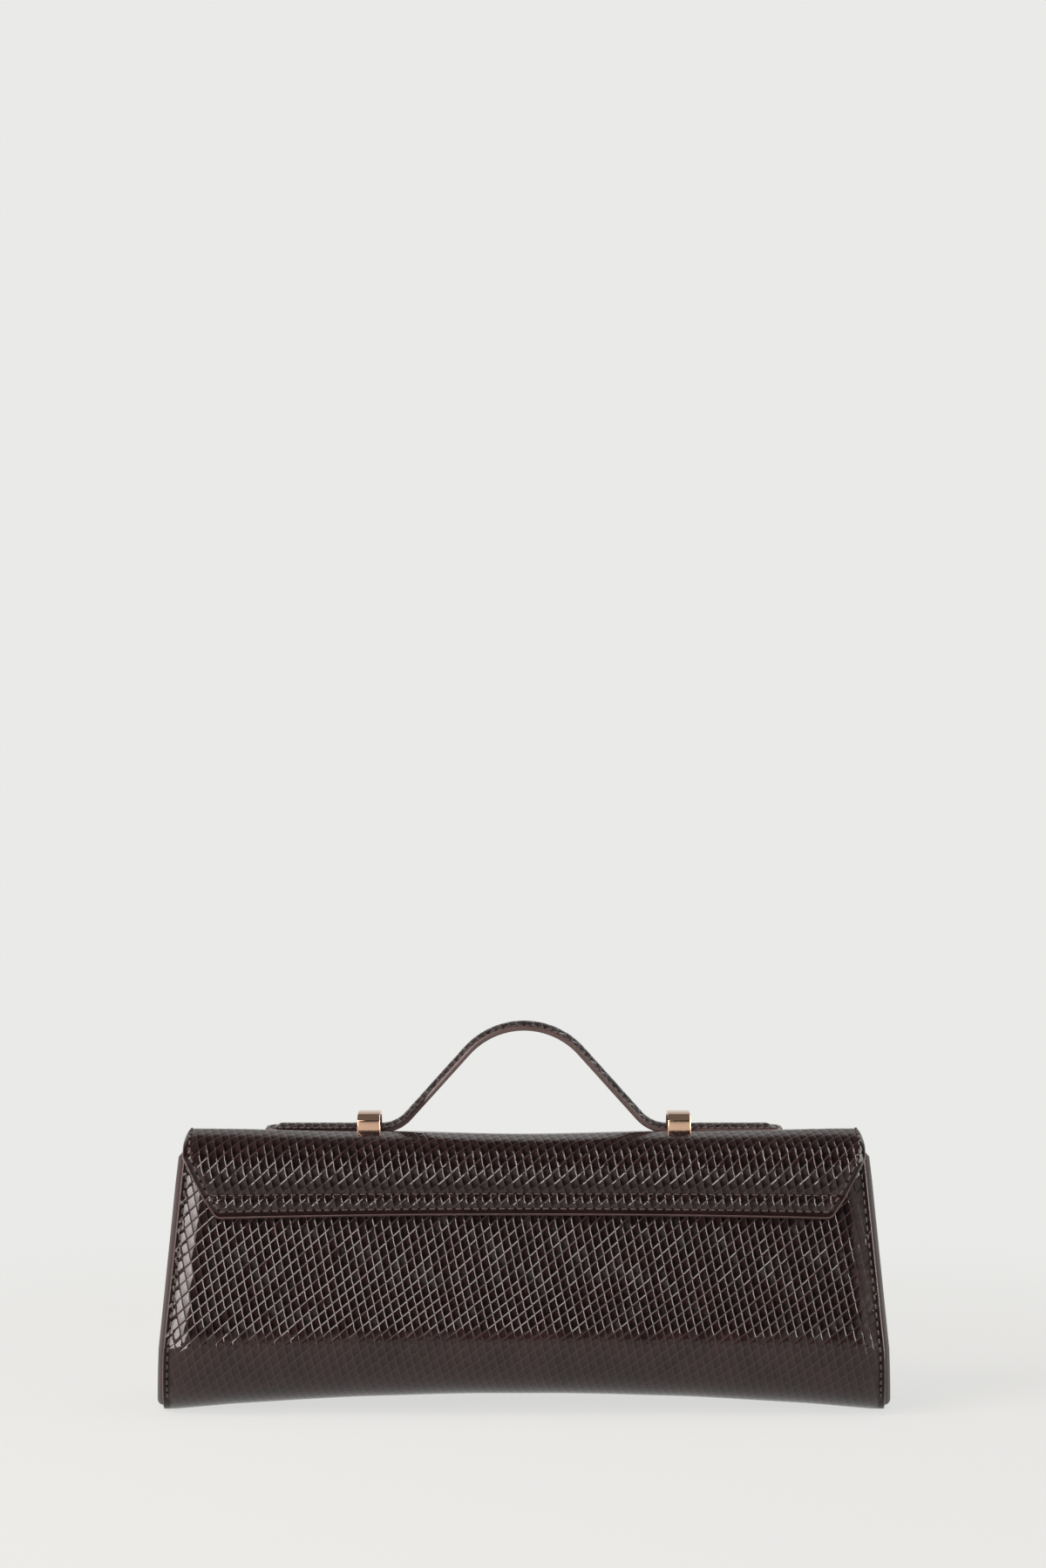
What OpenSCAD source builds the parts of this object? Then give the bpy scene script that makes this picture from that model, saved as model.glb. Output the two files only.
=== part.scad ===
// Structured top-handle handbag: a leather wrap between two bulging gussets, a fold-over flap with
// hidden magnets, and a strap handle that slides in two metal loops. Front is -Y, +Z is up and
// the table is Z = 0. All lengths are millimetres.

/* [Body] */
// Width across the side seams, low on the body
base_w = 294.6; // [240:0.2:360]
// Width across the side seams at the mouth
top_w = 280.6; // [230:0.2:290]
// Height of the mouth, where panels and gussets end
mouth_z = 107; // [100:0.5:125]
// Depth of the body at the mouth
mouth_d = 50; // [46:0.5:54]
// Depth of the body at its belly
belly_d = 74; // [66:0.5:90]
// Radius of the turn from the panels into the base
base_r = 26; // [20:0.5:30]
// Rise of the middle of the base off the table
arch_rise = 6.6; // [0:0.1:10]
// Height up the panels over which that rise fades out
arch_fade = 55; // [45:1:60]
// Width of the flat end of the base, which stands on the table
foot_w = 4.5; // [3:0.1:8]
// Width beside each side seam over which a panel falls back to the seam
seam_w = 14; // [10:0.5:24]
// How far a panel falls back at its side seam
seam_drop = 3; // [0:0.1:4]
// How far a gusset bulges out past the wrap's side edge, near the mouth
gusset_bulge = 5; // [1:0.1:7]
// How far it bulges out at the belly
gusset_belly = 6.8; // [2:0.1:9]
// Height over which the gusset's bulge grows up from the base
gusset_toe = 3.8; // [3:0.1:24]
// How far the middle of a gusset's top edge dips below the mouth
gusset_dip = 2.2; // [0:0.1:5]
// Height of the leather facing inside the mouth
facing_h = 12; // [8:0.5:20]

/* [Layers] */
// Thickness of the body's outer leather
wrap_t = 1.3; // [1:0.05:1.6]
// Thickness of the stiffening boards in the panels
board_t = 0.8; // [0.5:0.05:1.2]
// Thickness of the foam in the panels
foam_t = 1.6; // [1.2:0.05:2.2]
// Thickness of the lining and of the facings
lining_t = 0.7; // [0.4:0.05:1]
// Thickness of the tape that backs each side seam
tape_t = 0.6; // [0.3:0.05:1]
// Width of that tape
tape_w = 5.8; // [4:0.1:8]
// Glue line between two layers
glue = 0.1; // [0.05:0.01:0.15]

/* [Flap] */
// Height of the flap's ridge above the table
flap_top_z = 114.5; // [114:0.5:136]
// Depth of the flap, front leaf to back leaf
flap_d = 64; // [62:0.5:70]
// Radius of the flap's front and back bends
bend_r = 12; // [11:0.5:14]
// Fall of the flap's top from the ridge to its bends
ridge_fall = 2; // [0.5:0.1:3]
// Width of the flap over the top
flap_w = 281.4; // [225:0.2:288]
// Width of the flap at the lower edge of each leaf
leaf_w = 253.8; // [200:0.2:270]
// Height above the table of the leaf's lower edge, at its corners
leaf_z = 82; // [72:0.5:88]
// Rise of the middle of that edge
leaf_arch = 1.6; // [0:0.1:3]
// Height of the stitched band that lies on the panel, above the lower edge
band_h = 11; // [9:0.5:13]
// Height above the table where the leaf's sides start to taper
taper_z = 107; // [100:0.5:112]
// Thickness of the flap, leather to lining
flap_t = 3; // [2.6:0.1:3.6]
// Thickness of the flap's outer leather
flap_leather_t = 1.2; // [0.8:0.05:1.4]
// Thickness of the flap's lining
flap_lining_t = 0.6; // [0.4:0.05:0.8]
// Clearance between the leaf and the panel under it
flap_gap = 0.3; // [0.2:0.05:0.6]
// Sag of the flap's top between the handle loops
top_sag = 1.2; // [0:0.1:2]
// How far the flap opens on its back fold, in degrees
flap_open = 110; // [60:1:120]
// How far the front leaf unfolds from the top, in degrees
leaf_open = 65; // [30:1:75]

/* [Magnets] */
// Length of each magnet
magnet_l = 20; // [10:0.5:30]
// Height of each magnet
magnet_h = 5; // [3:0.1:6]
// Thickness of the magnets in the leaf
leaf_magnet_t = 0.9; // [0.6:0.05:1]
// Thickness of the magnets in the front panel
body_magnet_t = 1.4; // [0.8:0.05:1.5]
// Distance of the magnets from the middle of the bag
magnet_x = 62; // [40:1:90]
// Distance of the magnets above the leaf's lower edge
magnet_rise = 1.6; // [1:0.1:3]
// Room round a magnet in its window
magnet_gap = 0.4; // [0.2:0.1:1]

/* [Handle] */
// Width of the strap
strap_w = 17; // [14:0.2:17.2]
// Thickness of the strap's upper leather
cover_t = 1.2; // [0.8:0.05:1.4]
// Thickness of the strap's core
core_t = 0.8; // [0.4:0.05:1]
// Thickness of the strap's under leather
backing_t = 0.9; // [0.6:0.05:1]
// Glue line between the strap's layers
strap_glue = 0.05; // [0.03:0.01:0.08]
// Distance between the loops, inner face to inner face
grip_w = 120; // [116:1:150]
// Rise of the strap's middle above its tails
grip_rise = 43; // [38:0.1:46]
// Radius of the strap over its crown
crown_r = 32; // [26:0.5:34]
// Slope of the strap's legs, in degrees
leg_slope = 48; // [46:1:54]
// Length of each tail outside its loop
tail_l = 38.3; // [28:0.1:44]
// Slope at which a tail becomes a leg, in degrees
foot_slope = 18; // [12:1:22]
// Slope at which a leg becomes the crown, in degrees
crown_slope = 35; // [28:1:40]
// How far the legs fold down when the handle is pressed flat, in degrees
leg_fold = 36; // [20:1:36]
// Half the gap between two links of the strap
link_gap = 0.15; // [0.1:0.05:0.3]
// Clearance between the strap and the flap under it
strap_gap = 0.15; // [0.1:0.05:0.4]

/* [Loops] */
// Width of a loop along the strap, at its foot
loop_w = 10; // [8:0.2:14]
// Width of a loop along the strap, at its roof
loop_roof_w = 9.4; // [7:0.2:12]
// Depth of a loop across the strap, at its foot
loop_d = 22.4; // [21.4:0.2:26]
// Depth of a loop at the top of its walls
loop_wall_d = 22; // [21.4:0.2:26]
// Depth of a loop's flat roof
loop_roof_d = 15; // [10:0.2:18]
// Height of a loop's walls
loop_wall_h = 6.2; // [5:0.1:7]
// Height of a loop
loop_h = 9.3; // [8.6:0.1:10]
// Thickness of a loop's metal
loop_t = 1.4; // [1.2:0.05:1.6]
// Radius of the posts under a loop
post_r = 0.9; // [0.8:0.05:1.2]
// Room round a post in the flap
post_gap = 0.15; // [0.1:0.05:0.3]
// Thickness of the plate that backs a loop
plate_t = 0.8; // [0.6:0.05:1.2]
// Depth of that plate across the flap
plate_d = 25; // [24:0.2:30]
// Radius of a screw's shank
screw_r = 0.45; // [0.3:0.05:0.5]
// Room round the shank in its bore
screw_gap = 0.05; // [0.03:0.01:0.1]
// Length of thread in a post
screw_bite = 2.2; // [1:0.1:2.6]
// Radius of a screw's head
head_r = 1.8; // [1.2:0.1:2.2]
// Height of a screw's head
head_h = 0.7; // [0.4:0.1:1]
// Room between parts of the loops that seat on each other
seat = 0.05; // [0.03:0.01:0.1]

/* [Pocket] */
// Width of the slip pocket
pocket_w = 112; // [60:1:180]
// Height of the slip pocket
pocket_h = 32; // [24:1:34]
// Height above the table of the pocket's top edge
pocket_z = 91; // [90:0.5:94]
// Thickness of the pocket's cloth
pocket_t = 0.6; // [0.4:0.05:1]
// Gap between the pocket and the lining behind it
pocket_gap = 0.3; // [0.1:0.05:0.5]

/* [Hidden] */
$fn = 48;

// Overrun of a cut past the face it breaks
over = 1;
// Inset of a gusset's rim behind the wrap's side edge
rim_inset = 0.5;
// Height of the step between a facing and the lining under it
facing_step = 0.4;
// Colours, as the photograph shows them
hide_colour = [0.17, 0.12, 0.12];
edge_colour = [0.30, 0.20, 0.19];
lining_colour = [0.36, 0.28, 0.24];
board_colour = [0.55, 0.50, 0.42];
foam_colour = [0.80, 0.78, 0.72];
gold_colour = [0.76, 0.55, 0.36];
steel_colour = [0.62, 0.62, 0.64];

// A path's points lie to the left of its inner side, so a positive offset goes inwards.
function unit(v) = v / norm(v);
function left_of(v) = [-v.y, v.x];
function miter(p, i) =
    let (last = len(p) - 1,
         before = left_of(unit(i > 0 ? p[i] - p[i - 1] : p[1] - p[0])),
         after = left_of(unit(i < last ? p[i + 1] - p[i] : p[last] - p[last - 1])),
         middle = unit(before + after))
    middle / (middle * before);
function offset_path(p, d) = [for (i = [0:len(p) - 1]) p[i] + d * miter(p, i)];
function mirrored(p) = [for (i = [len(p) - 1:-1:0]) [-p[i].x, p[i].y]];
function mix(a, b, share) = a + (b - a) * share;

// Body section in Y and Z: a leaning wall, a round turn and a flat base, then the same again.
turn = [base_r - belly_d / 2, base_r];
mouth = [-mouth_d / 2, mouth_z];
reach = norm(mouth - turn);
lean = asin(base_r / reach) - atan2(turn.x - mouth.x, mouth.y - turn.y);
wall_end = turn + base_r * [-cos(lean), sin(lean)];
wall_l = norm(wall_end - mouth);
wall_shares = [0, facing_h / wall_l, (facing_h + facing_step) / wall_l, 0.33, 0.55, 0.78, 1];
turn_steps = 7;
front_half = concat(
    [for (share = wall_shares) mix(mouth, wall_end, share)],
    [for (i = [1:turn_steps])
        let (a = mix(-lean, 90, i / turn_steps)) turn - base_r * [cos(a), sin(a)]]);
body_path = concat(front_half, [[0, 0]], mirrored(front_half));
wall_n = len(wall_shares) - 1;
half_n = len(front_half) - 1;
last = len(body_path) - 1;
function wall_y(z) = mouth_d / 2 + (mouth_z - z) * tan(lean);

// Depths of the layers under the body's outer face
tape_in = wrap_t + glue;
board_in = wrap_t + glue;
foam_in = board_in + board_t + glue;
lining_in = foam_in + foam_t + glue;
gusset_in = wrap_t + glue;
gusset_t = wrap_t;
tape_edge = rim_inset + gusset_t + glue * 4;
lining_edge = tape_edge + glue;
board_edge = tape_edge + tape_w + glue;

// Half the wrap's width at a height, the fall-back at its side seams and the lift of its base
function up_wall(z) = min(1, max(0, (z - base_r) / (mouth_z - base_r)));
function half_w(z) = mix(base_w, top_w, up_wall(z)) / 2;
function drop(edge) = seam_drop * pow(max(0, 1 - edge / seam_w), 2);
function lift(x, z) =
    arch_rise * (1 - pow(min(1, abs(x) / (half_w(z) - foot_w)), 2)) * max(0, 1 - z / arch_fade);

// A column runs up the body at [side, distance in from the side edge, share of the way to the middle].
function columns(edge) = concat(
    [for (e = [edge, foot_w, seam_w / 2, seam_w]) if (e == edge || e > edge) [-1, e, 0]],
    [for (s = [0.2, 0.45, 0.7]) [-1, max(edge, seam_w), s]],
    [[1, seam_w, 1]],
    [for (s = [0.7, 0.45, 0.2]) [1, max(edge, seam_w), s]],
    [for (e = [seam_w, seam_w / 2, foot_w, edge]) if (e == edge || e > edge) [1, e, 0]]);
function body_point(i, depth, column) =
    let (p = offset_path(body_path, depth)[i],
         inward = miter(body_path, i).x,
         x = column[0] * (half_w(p.y) - column[1]) * (1 - column[2]),
         back = drop(half_w(p.y) - abs(x)))
    [x, p.x + inward * back, p.y + lift(x, p.y)];
function body_grid(from, to, depth, cols) =
    [for (i = [from:to]) [for (c = cols) body_point(i, depth, c)]];

// A closed sheet between an outer and an inner grid of points, in triangles.
module sheet(outer, inner) {
    rows = len(outer);
    cols = len(outer[0]);
    count = rows * cols;
    function at(i, j) = i * cols + j;
    function two(a, b, c, d) = [[a, b, c], [a, c, d]];
    polyhedron(
        points = concat([for (r = outer) each r], [for (r = inner) each r]),
        faces = concat(
            [for (i = [0:rows - 2]) for (j = [0:cols - 2])
                each two(at(i, j), at(i, j + 1), at(i + 1, j + 1), at(i + 1, j))],
            [for (i = [0:rows - 2]) for (j = [0:cols - 2])
                each two(count + at(i, j), count + at(i + 1, j),
                         count + at(i + 1, j + 1), count + at(i, j + 1))],
            [for (j = [0:cols - 2]) each two(at(0, j), count + at(0, j),
                count + at(0, j + 1), at(0, j + 1))],
            [for (j = [0:cols - 2]) each two(at(rows - 1, j), at(rows - 1, j + 1),
                count + at(rows - 1, j + 1), count + at(rows - 1, j))],
            [for (i = [0:rows - 2]) each two(at(i, 0), at(i + 1, 0),
                count + at(i + 1, 0), count + at(i, 0))],
            [for (i = [0:rows - 2]) each two(at(i, cols - 1), count + at(i, cols - 1),
                count + at(i + 1, cols - 1), at(i + 1, cols - 1))]),
        convexity = 6);
}

module body_sheet(from, to, depth, thick, cols) {
    sheet(body_grid(from, to, depth, cols), body_grid(from, to, depth + thick, cols));
}

// Outer leather, front over the base to the back
module body_wrap() {
    color(hide_colour) body_sheet(0, last, 0, wrap_t, columns(0));
}

module front_board() {
    color(board_colour) body_sheet(0, wall_n, board_in, board_t, columns(board_edge));
}

module back_board() {
    color(board_colour) body_sheet(last - wall_n, last, board_in, board_t, columns(board_edge));
}

// Thick board under the base and up its turns, as thick as board and foam in the panels
module base_board() {
    color(board_colour)
        body_sheet(wall_n + 1, last - wall_n - 1, board_in, lining_in - board_in - glue,
                   columns(board_edge));
}

// A block whose face lies on the leaning front wall, its outer face at a depth under the leather
module on_front_wall(x, z, depth, size) {
    translate([x, -wall_y(z), z]) rotate([-lean, 0, 0])
        translate([-size.x / 2, depth, -size.z / 2]) cube(size);
}

magnet_z = leaf_z + leaf_arch + magnet_rise + magnet_h / 2;
magnet_room = [magnet_l + 2 * magnet_gap, foam_t + 2 * over, magnet_h + 2 * magnet_gap];

module front_foam() {
    color(foam_colour) difference() {
        body_sheet(0, wall_n, foam_in, foam_t, columns(board_edge));
        for (side = [-1, 1]) on_front_wall(side * magnet_x, magnet_z, foam_in - over, magnet_room);
    }
}

module back_foam() {
    color(foam_colour) body_sheet(last - wall_n, last, foam_in, foam_t, columns(board_edge));
}

module body_magnets() {
    color(steel_colour) for (side = [-1, 1])
        on_front_wall(side * magnet_x, magnet_z, foam_in + (foam_t - body_magnet_t) / 2,
                      [magnet_l, body_magnet_t, magnet_h]);
}

module body_lining() {
    color(lining_colour) body_sheet(2, last - 2, lining_in, lining_t, columns(lining_edge));
}

module front_facing() {
    color(edge_colour) body_sheet(0, 1, lining_in, lining_t, columns(lining_edge));
}

module back_facing() {
    color(edge_colour) body_sheet(last - 1, last, lining_in, lining_t, columns(lining_edge));
}

// A gusset fills the end of the wrap between the same front and back points and bulges outwards.
gusset_shares = [-1, -0.96, -0.85, -0.6, -0.25, 0.25, 0.6, 0.85, 0.96, 1];
function bulge(share, z) =
    mix(gusset_belly, gusset_bulge, up_wall(z)) * sqrt(1 - pow(abs(share), 2.5)) * sqrt(1 - pow(max(0, 1 - z / gusset_toe), 2));
function dip(share, z) =
    gusset_dip * (1 - share * share) * max(0, 1 - (mouth_z - z) / facing_h);
function gusset_grid(depth, edge, inset) =
    [for (i = [0:half_n]) let (p = body_point(i, depth, [1, edge, 0]))
        [for (s = gusset_shares)
            [half_w(p.z) - edge - inset + bulge(s, p.z), p.y * -s, p.z - dip(s, p.z)]]];

module gusset_sheet(depth, edge, thick) {
    sheet(gusset_grid(depth, edge, 0), gusset_grid(depth, edge, thick));
}

module right_gusset() {
    color(edge_colour) gusset_sheet(gusset_in, rim_inset, gusset_t);
}

module left_gusset() {
    mirror([1, 0, 0]) right_gusset();
}

module right_gusset_lining() {
    color(lining_colour)
        gusset_sheet(lining_in + lining_t + glue, lining_edge + glue, lining_t);
}

module left_gusset_lining() {
    mirror([1, 0, 0]) right_gusset_lining();
}

module right_seam_tape() {
    color(board_colour)
        body_sheet(0, last, tape_in, tape_t, [[1, tape_edge + tape_w, 0], [1, tape_edge, 0]]);
}

module left_seam_tape() {
    mirror([1, 0, 0]) right_seam_tape();
}

// Cloth pocket on the lining of the back wall
pocket_depth = lining_in + lining_t + pocket_gap;
module slip_pocket() {
    color(lining_colour) translate([0, wall_y(pocket_z), pocket_z]) rotate([lean, 0, 0])
        translate([-pocket_w / 2, -pocket_depth - pocket_t, -pocket_h])
            cube([pocket_w, pocket_t, pocket_h]);
}

// Flap section in Y and Z, from the back leaf's lower edge over the top to the front leaf's.
bend = [flap_d / 2 - bend_r, flap_top_z - ridge_fall - bend_r];
band_top_z = leaf_z + band_h;
function leaf_y(z) = wall_y(z) + (flap_gap + flap_t) / cos(lean);
ridge_shares = [1, 0.5];
neck_shares = [0.75, 0.6];
bend_steps = 6;
flap_half = concat(
    [[leaf_y(leaf_z), leaf_z], [leaf_y(band_top_z), band_top_z],
     [mix(leaf_y(band_top_z), flap_d / 2, neck_shares[0]),
      mix(band_top_z, bend.y, neck_shares[1])]],
    [for (i = [0:bend_steps])
        let (a = 90 * i / bend_steps) bend + bend_r * [cos(a), sin(a)]],
    [[bend.x * ridge_shares[1], flap_top_z - ridge_fall * pow(ridge_shares[1], 2)]]);
flap_path = concat(flap_half, [[0, flap_top_z]], mirrored(flap_half));
flap_last = len(flap_path) - 1;
leaf_steps = 3;
front_fold = flap_last - leaf_steps;
flap_columns = [-1, -0.97, -0.9, -0.72, -0.43, -0.25, 0, 0.25, 0.43, 0.72, 0.9, 0.97, 1];
sag_w = 0.43 * flap_w / 2;

function flap_half_w(z) = mix(leaf_w, flap_w, min(1, max(0, (z - leaf_z) / (taper_z - leaf_z)))) / 2;
function sag(x, z) =
    top_sag * (1 + cos(180 * min(1, abs(x) / sag_w))) / 2
    * min(1, max(0, (z - bend.y) / (flap_top_z - bend.y)));
function edge_arch(share, z) =
    leaf_arch * (1 - share * share) * max(0, 1 - (z - leaf_z) / (bend.y - leaf_z));
function flap_point(i, depth, share) =
    let (p = offset_path(flap_path, depth)[i],
         top = flap_path[i].y,
         x = share * flap_half_w(top),
         rise = edge_arch(share, top))
    [x, p.x - sign(p.x) * rise * tan(lean), p.y - sag(x, top) + rise];
function flap_grid(from, to, depth) =
    [for (i = [from:to]) [for (share = flap_columns) flap_point(i, depth, share)]];

flap_board_in = flap_leather_t + glue;
flap_lining_in = flap_t - flap_lining_t;
flap_board_t = flap_lining_in - glue - flap_board_in;

module flap_sheet(from, to, depth, thick) {
    sheet(flap_grid(from, to, depth), flap_grid(from, to, depth + thick));
}

// The posts of the loops pass through every layer of the flap's top.
loop_x = grip_w / 2 + loop_w / 2;
post_y = loop_d / 2 - loop_t / 2;
function top_face(y) = lookup(abs(y), [[0, flap_top_z],
    [bend.x * ridge_shares[1], flap_top_z - ridge_fall * pow(ridge_shares[1], 2)],
    [bend.x, flap_top_z - ridge_fall]]);
loop_z = top_face(loop_d / 2 - loop_t) + seat;

module post_holes() {
    for (side = [-1, 1]) for (y = [-post_y, post_y])
        translate([side * loop_x, y, loop_z - flap_t - ridge_fall - over])
            cylinder(r = post_r + post_gap, h = flap_t + ridge_fall + 2 * over + seat);
}

module flap_top_leather() {
    color(hide_colour) difference() {
        flap_sheet(leaf_steps, front_fold, 0, flap_leather_t);
        post_holes();
    }
}

module flap_top_board() {
    color(board_colour) difference() {
        flap_sheet(leaf_steps, front_fold, flap_board_in, flap_board_t);
        post_holes();
    }
}

module flap_top_lining() {
    color(lining_colour) difference() {
        flap_sheet(leaf_steps, front_fold, flap_lining_in, flap_lining_t);
        post_holes();
    }
}

module flap_back_leather() {
    color(hide_colour) flap_sheet(0, leaf_steps, 0, flap_leather_t);
}

module flap_back_board() {
    color(board_colour) flap_sheet(0, leaf_steps, flap_board_in, flap_board_t);
}

module flap_back_lining() {
    color(lining_colour) flap_sheet(0, leaf_steps, flap_lining_in, flap_lining_t);
}

module flap_front_leather() {
    color(hide_colour) flap_sheet(front_fold, flap_last, 0, flap_leather_t);
}

leaf_magnet_depth = -(flap_gap + flap_t) + flap_board_in + (flap_board_t - leaf_magnet_t) / 2;

module flap_front_board() {
    color(board_colour) difference() {
        flap_sheet(front_fold, flap_last, flap_board_in, flap_board_t);
        for (side = [-1, 1])
            on_front_wall(side * magnet_x, magnet_z, leaf_magnet_depth - over,
                          [magnet_l + 2 * magnet_gap, leaf_magnet_t + 2 * over,
                           magnet_h + 2 * magnet_gap]);
    }
}

module flap_front_lining() {
    color(lining_colour) flap_sheet(front_fold, flap_last, flap_lining_in, flap_lining_t);
}

module flap_magnets() {
    color(steel_colour) for (side = [-1, 1])
        on_front_wall(side * magnet_x, magnet_z, leaf_magnet_depth,
                      [magnet_l, leaf_magnet_t, magnet_h]);
}

// A loop is a bridge over the strap with chamfered shoulders and two posts under its walls.
function loop_outline(wall, roof_drop, foot_d, wall_d, roof_d) = [
    [-foot_d / 2, 0], [-wall_d / 2, wall], [-roof_d / 2, loop_h - roof_drop],
    [roof_d / 2, loop_h - roof_drop], [wall_d / 2, wall], [foot_d / 2, 0]];

module loop_section() {
    difference() {
        polygon(loop_outline(loop_wall_h, 0, loop_d, loop_wall_d, loop_roof_d));
        translate([0, -over / 10])
            polygon(loop_outline(loop_wall_h, loop_t, loop_d - 2 * loop_t,
                                 loop_wall_d - 2 * loop_t, loop_roof_d - loop_t));
        translate([-(loop_d - 2 * loop_t) / 2, -over]) square([loop_d - 2 * loop_t, over]);
    }
}

module loop_taper() {
    rotate([90, 0, 0]) linear_extrude(height = 2 * loop_d, center = true)
        polygon([[-loop_w / 2, -over], [-loop_w / 2, 0], [-loop_roof_w / 2, loop_h + over],
                 [loop_roof_w / 2, loop_h + over], [loop_w / 2, 0], [loop_w / 2, -over]]);
}

plate_top = top_face(plate_d / 2) - flap_t - 2 * seat;
post_l = loop_z - plate_top - seat;

module loop_body() {
    translate([loop_x, 0, loop_z]) {
        intersection() {
            rotate([90, 0, 90]) linear_extrude(height = loop_w, center = true) loop_section();
            loop_taper();
        }
        for (y = [-post_y, post_y]) translate([0, y, -post_l]) difference() {
            cylinder(r = post_r, h = post_l);
            translate([0, 0, -over])
                cylinder(r = screw_r + screw_gap, h = screw_bite + over + screw_gap);
        }
    }
}

module right_loop() {
    color(gold_colour) loop_body();
}

module left_loop() {
    color(gold_colour) mirror([1, 0, 0]) loop_body();
}

module right_loop_plate() {
    color(steel_colour) difference() {
        translate([loop_x - loop_w / 2, -plate_d / 2, plate_top - plate_t])
            cube([loop_w, plate_d, plate_t]);
        for (y = [-post_y, post_y]) translate([loop_x, y, plate_top - plate_t - over])
            cylinder(r = screw_r + screw_gap, h = plate_t + 2 * over);
    }
}

module left_loop_plate() {
    mirror([1, 0, 0]) right_loop_plate();
}

module loop_screws() {
    color(steel_colour) for (side = [-1, 1]) for (y = [-post_y, post_y])
        translate([side * loop_x, y, plate_top - plate_t - seat]) {
            cylinder(r = screw_r, h = plate_t + 2 * seat + screw_bite);
            translate([0, 0, -head_h]) cylinder(r = head_r, h = head_h);
        }
}

// Strap line in X and Z, at mid thickness: tail, foot bend, straight leg and crown, then the same.
strap_t = cover_t + core_t + backing_t + 2 * strap_glue;
strap_z = flap_top_z + strap_gap + strap_t / 2;
crown_turn = crown_r * (1 - cos(leg_slope));
foot_r = (grip_w / 2 * tan(leg_slope) - grip_rise - crown_r * (1 / cos(leg_slope) - 1))
         / (1 / cos(leg_slope) - 1);
foot_x = grip_w / 2;
crown_z = strap_z + grip_rise;
function foot_point(a) = [foot_x - foot_r * sin(a), strap_z + foot_r * (1 - cos(a))];
function crown_point(a) = [crown_r * sin(a), crown_z - crown_r * (1 - cos(a))];
tail_tip = [foot_x + loop_w + tail_l, strap_z];
function steps(a, b, n) = [for (i = [0:n]) mix(a, b, i / n)];
right_tail = concat([for (a = steps(foot_slope, 0, 3)) foot_point(a)], [tail_tip]);
right_leg = concat([for (a = steps(crown_slope, leg_slope, 2)) crown_point(a)],
                   [for (a = steps(leg_slope, foot_slope, 4)) foot_point(a)]);
crown = concat([for (a = steps(crown_slope, 0, 5)) [-crown_point(a).x, crown_point(a).y]],
               [for (a = steps(0, crown_slope, 5)) if (a > 0) crown_point(a)]);

// Takes a length off each end of a line, so that two links stand apart at their fold.
function trimmed(p, start, end) =
    let (n = len(p) - 1)
    [for (i = [0:n])
        i == 0 ? p[0] + start * unit(p[1] - p[0]) :
        i == n ? p[n] - end * unit(p[n] - p[n - 1]) : p[i]];

// One layer of a link: the line thickened from one height above it to another, across the strap.
module strap_layer(line, low, high, width) {
    rotate([90, 0, 0]) linear_extrude(height = width, center = true)
        polygon(concat(offset_path(line, low), [for (i = [len(line) - 1:-1:0])
            offset_path(line, high)[i]]));
}

backing_low = -strap_t / 2;
core_low = backing_low + backing_t + strap_glue;
cover_low = core_low + core_t + strap_glue;
core_w = strap_w - 2 * cover_t;

module link_cover(line) {
    color(hide_colour) strap_layer(line, cover_low, cover_low + cover_t, strap_w);
}

module link_core(line) {
    color(foam_colour) strap_layer(line, core_low, core_low + core_t, core_w);
}

module link_backing(line) {
    color(edge_colour) strap_layer(line, backing_low, backing_low + backing_t, strap_w);
}

tail_line = trimmed(right_tail, link_gap, 0);
leg_line = trimmed(right_leg, link_gap, link_gap);
crown_line = trimmed(crown, link_gap, link_gap);

module left_tail_cover() { mirror([1, 0, 0]) link_cover(tail_line); }
module left_tail_core() { mirror([1, 0, 0]) link_core(tail_line); }
module left_tail_backing() { mirror([1, 0, 0]) link_backing(tail_line); }
module left_leg_cover() { mirror([1, 0, 0]) link_cover(leg_line); }
module left_leg_core() { mirror([1, 0, 0]) link_core(leg_line); }
module left_leg_backing() { mirror([1, 0, 0]) link_backing(leg_line); }
module crown_cover() { link_cover(crown_line); }
module crown_core() { link_core(crown_line); }
module crown_backing() { link_backing(crown_line); }
module right_leg_cover() { link_cover(leg_line); }
module right_leg_core() { link_core(leg_line); }
module right_leg_backing() { link_backing(leg_line); }
module right_tail_cover() { link_cover(tail_line); }
module right_tail_core() { link_core(tail_line); }
module right_tail_backing() { link_backing(tail_line); }

// Folds of the flap lie on its outer face. A leg folds at the strap's lower face where it leaves
// its tail, and at the upper face where it meets the crown.
flap_pivot = flap_path[leaf_steps];
leaf_pivot = flap_path[front_fold];
leg_pivot = foot_point(foot_slope) - strap_t / 2 * [sin(foot_slope), cos(foot_slope)];
crown_pivot = crown_point(crown_slope) + strap_t / 2 * [sin(crown_slope), cos(crown_slope)];
leg_chord = crown_pivot - leg_pivot;
leg_rise = atan2(leg_chord.y, -leg_chord.x);
tail_travel = norm(leg_chord) * (cos(leg_rise - leg_fold) - cos(leg_rise));
echo(flap_pivot = flap_pivot, leaf_pivot = leaf_pivot, flap_open = flap_open,
     leaf_open = leaf_open);
echo(leg_pivot = leg_pivot, crown_pivot = crown_pivot, leg_fold = leg_fold,
     tail_travel = tail_travel);
echo(lean = lean, foot_r = foot_r, strap_z = strap_z, loop_z = loop_z, plate_top = plate_top);

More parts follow.
